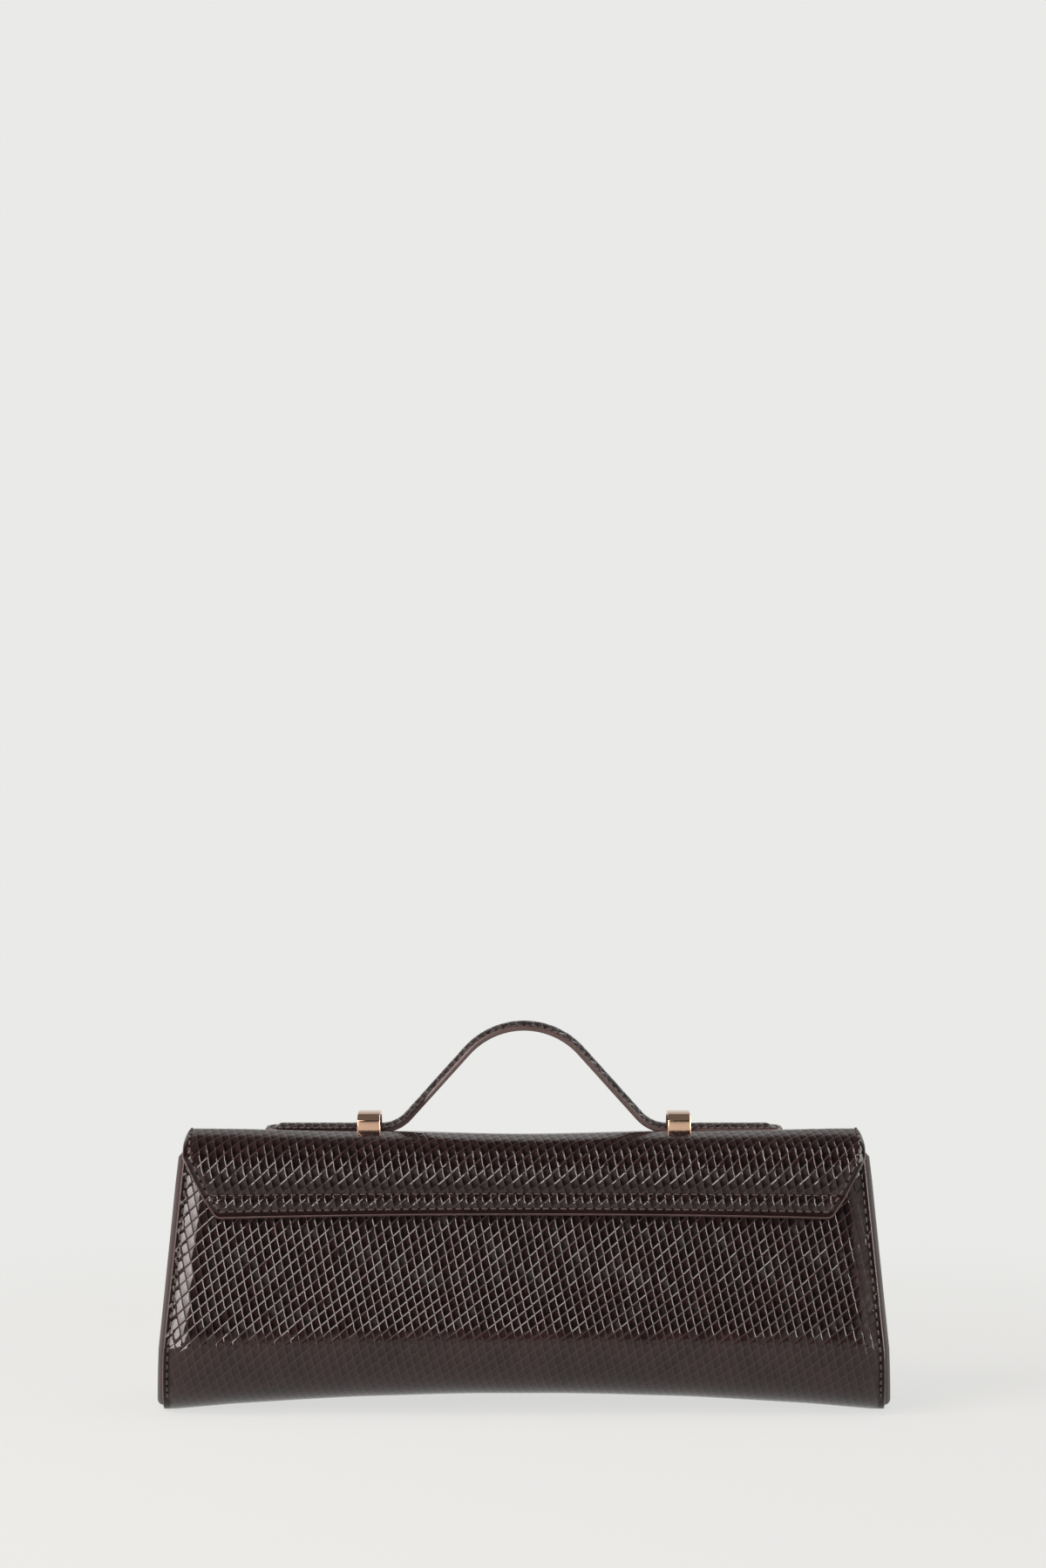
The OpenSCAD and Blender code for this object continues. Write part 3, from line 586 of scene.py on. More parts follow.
def add_mesh(name, points, faces, stuff, shade=None, sharp=55):
    """A mesh object from points in millimetres."""
    mesh = bpy.data.meshes.new(name)
    mesh.from_pydata((np.asarray(points) * MM).tolist(), [], [list(f) for f in faces])
    mesh.validate()
    mesh.materials.append(finish[stuff])
    if shade is not None:
        mesh.attributes.new("shade", "FLOAT", "POINT").data.foreach_set(
            "value", np.asarray(shade, np.float32))
    mesh.shade_smooth()
    mesh.set_sharp_from_angle(angle=math.radians(sharp))
    return add_object(name, mesh)


def ripple(x, v):
    """Hand-made leather is never quite flat: slow, shallow waves over the hide."""
    return 0.08 * np.sin(x / 7.7 + 2.0 * np.sin(v / 15.0)) * np.sin(v / 9.1 + 1.3 * np.sin(x / 19.0))


def turned(points):
    """The same piece on the bag's other side, by half a turn about the upright axis."""
    return points * np.array([-1, -1, 1])


def rim_places(source, count, shift=0):
    """Where each of a rim's points went in the net that was made over it."""
    found = [0] * count
    for new, old in enumerate(source):
        if 0 <= old < count:
            found[old] = new + shift
    return found


def leather(name, outline, place, stuff, top=0.0, bottom=-HIDE_T, pitch=5.0, border=None, puff=None,
            turn=False, rows=(), sharp=18, calm=None, shade_fade=None):
    """A closed piece over a convex outline. With a border it is embossed inside that margin."""
    outline = np.asarray(outline, float)
    embossed = border is not None
    if embossed:
        points, faces, loop = clipped(*lozenges(outline.min(0), outline.max(0)), outline, rows)
        x, v, relief, shade = points.T
        rim = points[loop][:, :2]
    else:
        sides = [(a, b, max(1, int(np.linalg.norm(b - a) / pitch)))
                 for a, b in zip(outline, np.roll(outline, -1, 0))]
        rim = np.array([mix(a, b, t / count) for a, b, count in sides for t in range(count)])
    net, inner_faces, source = infill(rim, pitch, outline)
    if not embossed:
        faces, loop, (x, v) = inner_faces, rim_places(source, len(rim)), net.T
        relief, shade = 0 * x, None
    height = (top(x, v) if callable(top) else top) + (puff(x, v) if puff else 0)
    if embossed:
        inside = np.clip((edge_distance(outline, x, v) - border) / MARGIN_FADE, 0, 1)
        print_depth = calm(v) if calm else 1.0
        relief = relief * inside * print_depth
        # Where the print is shallow and near the pulled edges the painted shade is weaker, the painted
        # highlight on the lines keeps a share of itself, and the margin gets its own painted shade
        dark = shade * print_depth * (shade_fade(x, v) if shade_fade else 1.0)
        shade = np.where(shade > 0, dark, shade * mix(HIGHLIGHT_KEPT, 1.0, print_depth))
        shade = mix(MARGIN_SHADE, shade, inside)
    outer = place(x, v, height + relief)
    inner = place(*net.T, bottom + 0 * net[:, 0])
    n = len(outer)
    low_loop = rim_places(source, len(rim), n)
    faces = list(faces) + [tuple(i + n for i in reversed(f)) for f in inner_faces]
    for k in range(len(rim)):
        m = (k + 1) % len(rim)
        faces.append((loop[m], loop[k], low_loop[k], low_loop[m]))
    points = np.concatenate([outer, inner])
    if embossed:
        shade = np.concatenate([shade, np.zeros(len(inner))])
    print(name, len(faces), "faces")
    return add_mesh(name, turned(points) if turn else points, faces, stuff, shade, sharp)


def grid_piece(name, outer, inner, stuff, sharp=50):
    """A closed sheet between two grids of points, rows by columns, the outer one facing outwards."""
    rows, cols = outer.shape[:2]
    n = rows * cols
    index = np.arange(n).reshape(rows, cols)
    quads = np.stack([index[:-1, :-1], index[:-1, 1:], index[1:, 1:], index[1:, :-1]], -1).reshape(-1, 4)
    border = np.concatenate([index[0, :-1], index[:-1, -1], index[-1, :0:-1], index[:0:-1, 0]])
    after = np.roll(border, -1)
    walls = np.stack([after, border, border + n, after + n], 1)
    points = np.concatenate([outer.reshape(-1, 3), inner.reshape(-1, 3)])
    return add_mesh(name, points, np.concatenate([quads, quads[:, ::-1] + n, walls]).tolist(), stuff,
                    sharp=sharp)


def bead(name, lines, place, stuff, middle, half_h, half_w, turn=False, sides=10):
    """A round-edged strip of edge paint along lines of the flat hide, each given as (x, v) points."""
    points, faces = [], []
    for line in lines:
        steps = unit(np.diff(line, axis=0))
        way = unit(np.concatenate([steps, steps[-1:]]) + np.concatenate([steps[:1], steps]))
        out = np.stack([way[:, 1], -way[:, 0]], 1)
        start, count = sum(len(p) for p in points), len(line)
        rings = [place(*(line + out * half_w * math.cos(a)).T, middle + half_h * math.sin(a))
                 for a in np.linspace(0, 2 * math.pi, sides, endpoint=False)]
        points.append(np.stack(rings, 1).reshape(-1, 3))
        for i in range(count - 1):
            for k in range(sides):
                a, b = start + i * sides + k, start + i * sides + (k + 1) % sides
                faces.append((a, b, b + sides, a + sides))
        faces.append(tuple(start + k for k in reversed(range(sides))))
        faces.append(tuple(start + (count - 1) * sides + k for k in range(sides)))
    points = np.concatenate(points)
    return face_out(add_mesh(name, turned(points) if turn else points, faces, stuff))


def face_out(obj):
    """Turns a closed piece's faces outwards."""
    bm = bmesh.new()
    bm.from_mesh(obj.data)
    bmesh.ops.recalc_face_normals(bm, faces=bm.faces)
    bm.to_mesh(obj.data)
    bm.free()
    return obj


def line_between(a, b, pitch=3.0):
    count = max(2, int(np.hypot(b[0] - a[0], b[1] - a[1]) / pitch) + 1)
    return np.stack([np.linspace(a[i], b[i], count) for i in (0, 1)], 1)


def polyline(*corners, pitch=3.0):
    """One line through several corners, with a point at each."""
    parts = [line_between(a, b, pitch) for a, b in zip(corners, corners[1:])]
    return np.concatenate([parts[0]] + [p[1:] for p in parts[1:]])


print("piece makers ready")

# %% [markdown]
# Stitches repeat hundreds of times, so Geometry Nodes place them: a point for each stitch carries
# the seam's direction and the leather's outward direction, and a small rounded stitch is turned to
# both and set on it. The thread lies in the holes at both ends and stands up between them. Half a
# pitch along sits a flat near black blob: the punched holes are real, their darkness a painted shade.

# %% Stitch tree
def stitch_tree():
    group = bpy.data.node_groups.new("stitch_row", "GeometryNodeTree")
    group_socket(group, "Points", "NodeSocketGeometry")
    for name, value in (("Stitch Length", 0.003), ("Thread Width", 0.0007), ("Thread Height", 0.0006),
                        ("Pitch", 0.0036)):
        group_socket(group, name, "NodeSocketFloat", value)
    group_socket(group, "Thread", "NodeSocketMaterial")
    group_socket(group, "Hole", "NodeSocketMaterial")
    group_socket(group, "Stitches", "NodeSocketGeometry", way="OUTPUT")
    given = place_node(group, "NodeGroupInput").outputs
    seam, away = (place_node(group, "GeometryNodeInputNamedAttribute", {"Name": name},
                             data_type="FLOAT_VECTOR").outputs["Attribute"] for name in ("seam", "away"))
    along_seam = place_node(group, "FunctionNodeAlignRotationToVector", {"Vector": seam}, axis="X")
    upright = place_node(group, "FunctionNodeAlignRotationToVector",
                         {"Rotation": along_seam.outputs[0], "Vector": away}, axis="Z", pivot_axis="X")
    ball = place_node(group, "GeometryNodeMeshUVSphere", {"Segments": 6, "Rings": 5, "Radius": 0.5})
    thread = place_node(group, "ShaderNodeCombineXYZ", {
        "X": given["Stitch Length"], "Y": given["Thread Width"], "Z": given["Thread Height"]})
    half_pitch = calculate(group, "MULTIPLY", given["Pitch"], 0.5)
    step = place_node(group, "ShaderNodeVectorMath", {0: seam, "Scale": half_pitch}, operation="SCALE")
    between = place_node(group, "GeometryNodeSetPosition",
                         {"Geometry": given["Points"], "Offset": step.outputs[0]})
    both = place_node(group, "GeometryNodeJoinGeometry")
    for points, size, stuff in (
            (given["Points"], thread.outputs[0], "Thread"),
            (between.outputs[0], tuple(c * MM for c in HOLE_SHADE_SIZE), "Hole")):
        shape = place_node(group, "GeometryNodeTransform", {"Geometry": ball.outputs[0], "Scale": size})
        onto = place_node(group, "GeometryNodeInstanceOnPoints", {
            "Points": points, "Instance": shape.outputs[0], "Rotation": upright.outputs[0]})
        paint = place_node(group, "GeometryNodeSetMaterial",
                           {"Geometry": onto.outputs[0], "Material": given[stuff]})
        feed(group, both, {0: paint.outputs[0]})
    real = place_node(group, "GeometryNodeRealizeInstances", {0: both.outputs[0]})
    smooth = place_node(group, "GeometryNodeSetShadeSmooth", {0: real.outputs[0]})
    place_node(group, "NodeGroupOutput", {0: smooth.outputs[0]})
    return group


# Size of the near black blob at each of the punched holes, a painted shade for their recess
HOLE_SHADE_SIZE = (1.35, 1.2, 0.35)
STITCH_TREE = stitch_tree()
STITCH_PITCH, STITCH_L, THREAD_W, THREAD_H, SEAM_REACH = 3.6, 2.9, 0.75, 0.62, 0.8


def seam_points(line, place, rise=0.1, turn=False, pitch=STITCH_PITCH):
    """Stitch places along one flat line: points, seam directions and outward directions."""
    run = run_of(line)
    count = max(1, int(round(run[1][-1] / pitch)))
    at = (np.arange(count) + 0.5) * run[1][-1] / count
    x, v = at_length(run, at)
    here, up = place(x, v, 0 * x + rise), place(x, v, 0 * x + rise + 1)
    ahead, behind = (place(*at_length(run, at + way), 0 * x) for way in (SEAM_REACH, -SEAM_REACH))
    made = [here, unit(ahead - behind), unit(up - here)]
    return [turned(m) for m in made] if turn else made


def stitch(name, seams, length=STITCH_L, pitch=STITCH_PITCH):
    """One mesh of stitches from several seams' points."""
    here, seam, away = (np.concatenate([s[i] for s in seams]) for i in range(3))
    mesh = bpy.data.meshes.new(name)
    mesh.from_pydata((here * MM).tolist(), [], [])
    for key, values in (("seam", seam), ("away", away)):
        mesh.attributes.new(key, "FLOAT_VECTOR", "POINT").data.foreach_set(
            "vector", values.astype(np.float32).ravel())
    holder = bpy.data.objects.new(f"{name}_points", mesh)
    bpy.context.collection.objects.link(holder)
    modifier = holder.modifiers.new("stitches", "NODES")
    modifier.node_group = STITCH_TREE
    names = {s.name: s.identifier for s in STITCH_TREE.interface.items_tree if s.in_out == "INPUT"}
    for key, value in (("Stitch Length", length * MM), ("Thread Width", THREAD_W * MM),
                       ("Thread Height", THREAD_H * MM), ("Pitch", pitch * MM),
                       ("Thread", finish["thread"]), ("Hole", finish["hole_shade"])):
        modifier[names[key]] = value
    view = bpy.context.evaluated_depsgraph_get()
    plain = bpy.data.meshes.new_from_object(holder.evaluated_get(view))
    bpy.data.objects.remove(holder)
    for key in ("seam", "away"):
        if key in plain.attributes:
            plain.attributes.remove(plain.attributes[key])
    print(name, len(here), "stitches,", len(plain.polygons), "faces")
    return add_object(name, plain)


# %% [markdown]
# The body hide, as a front and a back half that meet under the base. It's embossed up to a narrow
# plain margin, where the side seams are sewn through to the gussets.

# %% Body hide
SEAM_IN, MARGIN = 1.7, 2.3
top_w = TOP_W / 2
front_outline = [(-FOOT_HALF, 0), (FOOT_HALF, 0), (WIDE_HALF, WIDE_V), (TOP_HALF, BODY_V),
                 (-TOP_HALF, BODY_V), (-WIDE_HALF, WIDE_V)]
back_outline = [(x, -v) for x, v in reversed(front_outline)]


def body_calm(v):
    """The print is shallow where the hide turns under the base."""
    return np.interp(np.abs(v), (25.0, 50.0, 57.5, 60.5), (0.15, 0.3, 0.4, 1.0))


def body_shade_fade(x, v):
    """The painted shade on the scales fades out where the hide is pulled over at the sides."""
    return np.interp(hide_w(v) - np.abs(x), (3.0, 11.0), (0.15, 1.0))


for side, outline in (("front", front_outline), ("back", back_outline)):
    piece = leather(f"body_hide_{side}", outline, hide_place, "hide", border=MARGIN, puff=ripple,
                    calm=body_calm, shade_fade=body_shade_fade)
    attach(piece, "bag_body")
    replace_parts(piece, "body_wrap")

# %% [markdown]
# Cut edges of the hide are painted. At the mouth the paint runs over all the panel's layers at once.

# %% Body edges
def side_line(sign, inset, back=False):
    """Up one side seam of the body, at a distance in from its edge."""
    heights = np.concatenate([np.linspace(0, WIDE_V, 18), np.linspace(WIDE_V, BODY_V, 28)[1:]])
    return np.stack([sign * (hide_w(heights) - inset), heights * (-1 if back else 1)], 1)


edge = bead("side_edges", [side_line(s, 0, b) for s in (-1, 1) for b in (False, True)], hide_place,
            "edge", -HIDE_T / 2, HIDE_T / 2 + 0.12, 0.4)
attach(edge, "bag_body")
rims = [line_between((1.5 - TOP_HALF, v), (TOP_HALF - 1.5, v)) for v in (BODY_V - 0.2, -BODY_V + 0.2)]
edge = bead("mouth_edges", rims, hide_place, "edge", -PANEL_T / 2, PANEL_T / 2 + 0.1, 0.8)
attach(edge, "bag_body")

# %% Body stitches
# The stitches of the side seams start a little way up from the base
rows = [seam_points(side_line(s, SEAM_IN, b)[10:], hide_place) for s in (-1, 1) for b in (False, True)]
top_row = BODY_V - 3.0
rows += [seam_points(line_between((-top_w + 8, v), (top_w - 8, v)), hide_place)
         for v in (top_row, -top_row)]
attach(stitch("body_stitches", rows), "bag_body")

# %% [markdown]
# The gussets are smooth leather that swells outwards between the front and back seams, most at half
# depth, and comes back to the seam at the foot. The same rule as the CAD model's gives the swell.

# %% Gussets
TOE, DIP, DIP_FADE, FOOT_V = 3.8, 2.2, 12.0, 11
HIDE_BELLY, CLOTH_BELLY = (4.7, 4.4), (5.4, 4.4)
HIDE_DEPTH, HIDE_EDGE, CLOTH_DEPTH, CLOTH_EDGE, CLOTH_T = 1.4, 0.5, 4.8, 2.4, 0.7


def gusset_grid(depth, edge, inset, belly, width=None, rows=44, cols=33):
    """Rows up the gusset and columns from front to back, on the right side."""
    v = np.concatenate([np.linspace(FOOT_V, WIDE_V, rows // 2),
                        np.linspace(WIDE_V, BODY_V, rows // 2)[1:]])
    share = np.sin(np.linspace(-math.pi / 2, math.pi / 2, cols))
    z = at_length(body_run, v)[1]
    side = (width(v) if width else half_w(z)) - edge
    line = body_place(side, v, 0 * v - depth, width)
    side = side[:, None]
    z, y = line[:, 2][:, None], line[:, 1][:, None]
    up = np.clip((z - TURN_R) / (MOUTH_Z - TURN_R), 0, 1)
    swell = (mix(*belly, up) * np.sqrt(1 - np.abs(share) ** 2.5)
             * np.sqrt(1 - np.maximum(0, 1 - z / TOE) ** 2))
    dip = DIP * (1 - share ** 2) * np.maximum(0, 1 - (MOUTH_Z - z) / DIP_FADE)
    return np.stack([side - inset + swell, -y * share, z - dip], -1)


def both_sides(name, stuff, outer, inner, replaced):
    for side, sign in (("right", 1), ("left", -1)):
        flip = np.array([sign, sign, 1])
        piece = grid_piece(f"{side}_{name}", outer * flip, inner * flip, stuff)
        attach(face_out(piece), "bag_body")
        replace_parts(piece, f"{side}_{replaced}")


outer, inner = (gusset_grid(HIDE_DEPTH, HIDE_EDGE, t, HIDE_BELLY, hide_w) for t in (0, HIDE_T))
both_sides("gusset_hide", "smooth", outer, inner, "gusset")
outer, inner = (gusset_grid(CLOTH_DEPTH, CLOTH_EDGE, t, CLOTH_BELLY) for t in (0, CLOTH_T))
both_sides("gusset_cloth", "lining", outer, inner, "gusset_lining")

# %% [markdown]
# Inside, a cloth lining covers the walls and the base, with a leather facing above it round the
# mouth and a slip pocket at the back. None of it shows until the flap is opened.

# %% Lining, facings and pocket
LINING_IN, LINING_T, LINING_EDGE, FACING_H = 4.0, 0.7, 2.3, 12.0
FACING_V = BODY_V - FACING_H


def wall_grid(v, edge, depth, cols=41):
    z = at_length(body_run, np.abs(v))[1]
    across = np.linspace(-1, 1, cols)
    x = across[None, :] * (half_w(z) - edge)[:, None]
    return body_place(x, np.repeat(v[:, None], cols, 1), 0 * x - depth)


low_v = np.concatenate([np.linspace(-FACING_V + 0.4, -WIDE_V, 16), np.linspace(-WIDE_V, WIDE_V, 45)[1:-1],
                        np.linspace(WIDE_V, FACING_V - 0.4, 16)])
cloth = grid_piece("body_cloth", wall_grid(low_v, LINING_EDGE, LINING_IN),
                   wall_grid(low_v, LINING_EDGE, LINING_IN + LINING_T), "lining")
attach(face_out(cloth), "bag_body")
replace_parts(cloth, "body_lining")
for side, sign in (("front", 1), ("back", -1)):
    v = sign * np.linspace(FACING_V, BODY_V - 0.3, 5)
    facing = grid_piece(f"{side}_facing_hide", wall_grid(v, LINING_EDGE, LINING_IN),
                        wall_grid(v, LINING_EDGE, LINING_IN + LINING_T + 0.15), "smooth")
    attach(face_out(facing), "bag_body")
    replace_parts(facing, f"{side}_facing")


def inside_place(x, v, h):
    """On the inner face of the body's wall, with h pointing into the bag."""
    return body_place(x, v, -(LINING_IN + LINING_T) - h)


facing_rows = [seam_points(line_between((-top_w + 6, v), (top_w - 6, v)), inside_place, 0.2)
               for v in (FACING_V + 1.8, -FACING_V - 1.8)]
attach(stitch("facing_stitches", facing_rows), "bag_body")

POCKET_HALF, POCKET_H, BAND_H, POCKET_ROW, POCKET_V = 56.0, 32.0, 7.0, 1.6, body_v(91.0)
POCKET_TOP, POCKET_BOTTOM, BAND_BOTTOM = -5.0, -5.6, -6.2


def pocket_box(height):
    return [(x * POCKET_HALF, v - POCKET_V) for x, v in ((-1, 0), (1, 0), (1, height), (-1, height))]


pocket = leather("pocket_cloth", rounded(pocket_box(POCKET_H), {2: 7, 3: 7}), body_place, "lining",
                 top=POCKET_TOP, bottom=POCKET_BOTTOM, pitch=4)
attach(pocket, "bag_body")
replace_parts(pocket, "slip_pocket")
band = leather("pocket_band", pocket_box(BAND_H), body_place, "smooth", top=POCKET_BOTTOM,
               bottom=BAND_BOTTOM, pitch=3.5)
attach(band, "bag_body")
pocket_side = [(POCKET_HALF - POCKET_ROW, -POCKET_V), (POCKET_HALF - POCKET_ROW, POCKET_H - POCKET_V - 3),
               (POCKET_HALF - 5, POCKET_H - POCKET_V - POCKET_ROW)]
pocket_line = polyline(*[(-x, v) for x, v in pocket_side], *reversed(pocket_side))
band_v = BAND_H - POCKET_ROW - POCKET_V
band_line = line_between((3 - POCKET_HALF, band_v), (POCKET_HALF - 3, band_v))
rows = [seam_points(pocket_line, inside_place, 1.0), seam_points(band_line, inside_place, 1.6)]
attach(stitch("pocket_stitches", rows), "bag_body")

# %% [markdown]
# The flap is a second hide. It starts sewn to the back, folds over the top and ends in a front leaf
# with slanted sides.

# %% Flap section
LEAF_Z, LEAF_W, FLAP_W, TAPER_Z, FLAP_TOP = 82.0, 253.8, 281.4, 107.0, 114.5
BEND_Y, BEND_Z, BEND_R, FLAP_T, FLAP_HIDE_T, FLAP_CLOTH_IN = 20.0, 100.5, 12.0, 3.0, 1.2, 2.4
SAG_W, TOP_SAG, LEAF_ARCH = 60.5, 1.2, 1.6


def leaf_y(z):
    return MOUTH_HALF + (MOUTH_Z - z) * math.tan(LEAN) + (0.3 + FLAP_T) / math.cos(LEAN)


def eased(points, reach=3.0, step=0.25):
    """A line resampled finely, with its corners rounded off."""
    run = run_of(points)
    fine = np.stack(at_length(run, np.arange(0, run[1][-1] + step / 2, step)), 1)
    half = int(reach / step)
    wide = np.pad(fine, ((half, half), (0, 0)), mode="reflect", reflect_type="odd")
    kernel = np.hanning(2 * half + 3)[1:-1]
    return np.stack([np.convolve(wide[:, i], kernel / kernel.sum(), "valid") for i in (0, 1)], 1)


# Up the front leaf, round the fold and along the top to the middle
flap_corners = ([(-leaf_y(LEAF_Z), LEAF_Z), (-leaf_y(93), 93), (-mix(leaf_y(93), 32, 0.75), 97.5)]
                + arc((-BEND_Y, BEND_Z), BEND_R, 180, 98.5, 24) + [(-10, 114.0), (0, FLAP_TOP)])
flap_run = run_of(eased(flap_corners))
FLAP_V = flap_run[1][-1]
TAPER_V = float(np.interp(TAPER_Z, flap_run[0][:, 1], flap_run[1]))


def flap_half_w(z):
    return mix(LEAF_W, FLAP_W, np.clip((z - LEAF_Z) / (TAPER_Z - LEAF_Z), 0, 1)) / 2


def flap_place(x, v, h):
    """A point of the flap's front half: x across, v up from the leaf's edge, h outwards."""
    y, z, ny, nz = along(flap_run, v)
    rise = (LEAF_ARCH * (1 - np.minimum(1, np.abs(x) / flap_half_w(z)) ** 2)
            * np.maximum(0, 1 - (z - LEAF_Z) / (BEND_Z - LEAF_Z)))
    sag = (TOP_SAG * (1 + np.cos(math.pi * np.minimum(1, np.abs(x) / SAG_W))) / 2
           * np.clip((z - BEND_Z) / (FLAP_TOP - BEND_Z), 0, 1))
    return np.stack([x + 0 * v, y + ny * h + rise * math.tan(LEAN), z + nz * h + rise - sag], -1)


print("flap runs", round(2 * FLAP_V, 1), "mm from edge to edge")

# %% Flap hide
ROW_LOW, ROW_HIGH, LEAF_R = 2.35, 9.05, 3.5
# The slanted side steepens at the shoulder, and the two halves meet at MEET_HALF from the middle
SHOULDER, MEET_HALF = (133.0, 9.0), 141.2
right_side = [(LEAF_W / 2, 0), SHOULDER, (FLAP_W / 2, TAPER_V), (MEET_HALF, FLAP_V)]
left_side = [(-x, v) for x, v in reversed(right_side)]
flap_outline = rounded(left_side[-1:] + right_side + left_side[:-1], dict.fromkeys((0, 1), LEAF_R))


# Height of the padding above the section at lengths up the leaf: two sewn dips, a swell between
# them, and a fuller swell over the fold. The front half has a crest on top before the loops as well
PADDING = eased([(-4, 0), (0, 0), (ROW_LOW, -0.35), (5.2, 0.6), (7.5, 0.6), (ROW_HIGH, -0.4),
                 (13.4, 1.3), (18, 1.3), (24, 1.0), (30, 0.5), (36, 0.15), (42, 0), (90, 0)],
                reach=0.8, step=0.1)
CREST_SWELL = eased([(18, 0), (21, 0.1), (24, 0.45), (28, 1.0), (32, 1.5), (36, 1.9), (40, 2.15),
                     (43, 2.3), (46, 2.15), (47.5, 1.2), (48.5, 0.5), (49.5, 0.1), (51, 0), (90, 0)],
                    reach=1.2, step=0.1)
PAD_EDGE, CREST_EDGE = 5.0, 2.5
RISE_FROM, RISE_TO, END_RISE = 66.0, 138.0, 0.6
# Padding thins towards the sides alone, so its outline runs on past both ends and stays convex
PAST_LOW, PAST_HIGH = (93.0, -50), (143.0, 2 * FLAP_V)
pad_side = [PAST_LOW, *right_side[:-1], PAST_HIGH]
pad_outline = np.array(pad_side + [(-x, v) for x, v in reversed(pad_side)])


def padding(x, v, profile, reach):
    """Padding of a profile up the leaf, which thins towards the side edges."""
    side = np.clip(edge_distance(pad_outline, x, v) / reach, 0, 1)
    return np.interp(v, profile[:, 0], profile[:, 1]) * (1 - (1 - side) ** 2)


def back_puff(x, v):
    return padding(x, v, PADDING, PAD_EDGE) + 0.5 * ripple(x, v)


def front_puff(x, v):
    """The crest stands higher towards both ends of the flap."""
    end = np.clip((np.abs(x) - RISE_FROM) / (RISE_TO - RISE_FROM), 0, 1)
    return (back_puff(x, v)
            + padding(x, v, CREST_SWELL, CREST_EDGE) * (1 + END_RISE * (1 - np.cos(math.pi * end)) / 2))


def over_fold(obj):
    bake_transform(obj)
    return obj


low_left, low_right = flap_outline[:CORNER_POINTS], flap_outline[CORNER_POINTS:2 * CORNER_POINTS]
rim_line = np.concatenate([
    polyline(*left_side[:-1], low_left[0]), low_left[1:],
    line_between(low_left[-1], low_right[0])[1:], low_right[1:],
    polyline(low_right[-1], *right_side[1:])[1:]])


def flap_seam(inset):
    """Stitch line round the flap's front half, at a distance in from its edge."""
    chain = np.array(left_side + right_side, float)
    way = unit(np.diff(chain, axis=0))
    inward = np.stack([-way[:, 1], way[:, 0]], 1)
    before, after = inward[[0, *range(len(way))]], inward[[*range(len(way)), -1]]
    joint = (before + after) / (1 + (before * after).sum(1, keepdims=True))
    return polyline(*(chain + joint * inset), pitch=2.0)


def puffed_place(puff):
    return lambda x, v, h: flap_place(x, v, h + puff(x, v))


def flap_calm(v):
    """The print is shallow along the sewn rows, and on top past the fold."""
    return np.interp(v, (3.0, 6.0, 8.6, 9.4, 14.0, 29.0, 38.0), (0.5, 1.0, 0.9, 0.5, 1.0, 1.0, 0.3))


def flap_shade_fade(x, v):
    """The painted shade on the scales fades out along the side edges."""
    return np.interp(edge_distance(pad_outline, x, v), (3.0, 5.5), (0.15, 1.0))


flap_rows = np.concatenate([np.arange(0.7, 14, 0.7), np.arange(14.6, FLAP_V - 1, 1.5)])
upper_w = float(np.interp(ROW_HIGH, [v for _, v in right_side], [x for x, _ in right_side])) - 3.4
for side, puff in (("front", front_puff), ("back", back_puff)):
    turn = side == "back"
    nodes = ("front",) if side == "front" else ("back", "top")
    place = puffed_place(puff)
    hide = leather(f"flap_hide_{side}", flap_outline, flap_place, "hide", bottom=-FLAP_HIDE_T,
                   border=1.1, puff=puff, turn=turn, rows=flap_rows, calm=flap_calm,
                   shade_fade=flap_shade_fade)
    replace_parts(over_fold(hide), *[f"flap_{n}_leather" for n in nodes])
    cloth = leather(f"flap_cloth_{side}", flap_outline, flap_place, "lining", top=-FLAP_CLOTH_IN,
                    bottom=-FLAP_T, pitch=3.0, turn=turn)
    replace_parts(over_fold(cloth), *[f"flap_{n}_lining" for n in nodes])
    paint = bead(f"flap_edge_{side}", [rim_line], flap_place, "edge", -FLAP_T / 2, FLAP_T / 2 + 0.15, 0.65,
                 turn=turn)
    over_fold(paint)
    rows = [seam_points(flap_seam(ROW_LOW), place, 0.05, turn),
            seam_points(line_between((-upper_w, ROW_HIGH), (upper_w, ROW_HIGH)), place, 0.05, turn)]
    over_fold(stitch(f"flap_stitches_{side}", rows))

# %% [markdown]
# The strap is one length of leather from tail to tail, laid over a thin core and backed with smooth
# leather. Its four pieces each cross one fold of the handle, and they meet in the middle of a leg
# and at the crown, where nothing bends.

# %% Strap section
STRAP_W, STRAP_Z, GRIP_HALF, GRIP_RISE, CROWN_R, SLOPE = 17.0, 116.15, 60.0, 43.0, 32.0, 48.0
FOOT_R, TAIL_X = 15.8016, 108.3
half = ([(math.sin(a) * CROWN_R, STRAP_Z + GRIP_RISE - CROWN_R * (1 - math.cos(a)))
         for a in np.radians(np.linspace(0, SLOPE, 24))]
        + [(GRIP_HALF - FOOT_R * math.sin(a), STRAP_Z + FOOT_R * (1 - math.cos(a)))
           for a in np.radians(np.linspace(SLOPE, 0, 16))] + [(TAIL_X, STRAP_Z)])
strap_run = run_of([(-x, z) for x, z in reversed(half)][:-1] + half)
STRAP_L = strap_run[1][-1]
CREST = STRAP_L / 2


def strap_place(s, w, h):
    """A point of the strap: s along it from the left tip, w across towards the back, h upwards."""
    x, z, nx, nz = along(strap_run, s)
    return np.stack([x + nx * h, w + 0 * s, z + nz * h], -1)


def strap_s(x):
    """The length along the strap at a place on its left half."""
    return float(np.interp(x, strap_run[0][:, 0], strap_run[1]))


RIM_H, DOME_H, DOME_HALF, PLAIN_TIP, TIP_FADE = 0.45, 2.2, 6.3, 3.2, 3.0
COVER_IN, BACKING_IN, STRAP_IN = 0.3, 0.32, 1.5


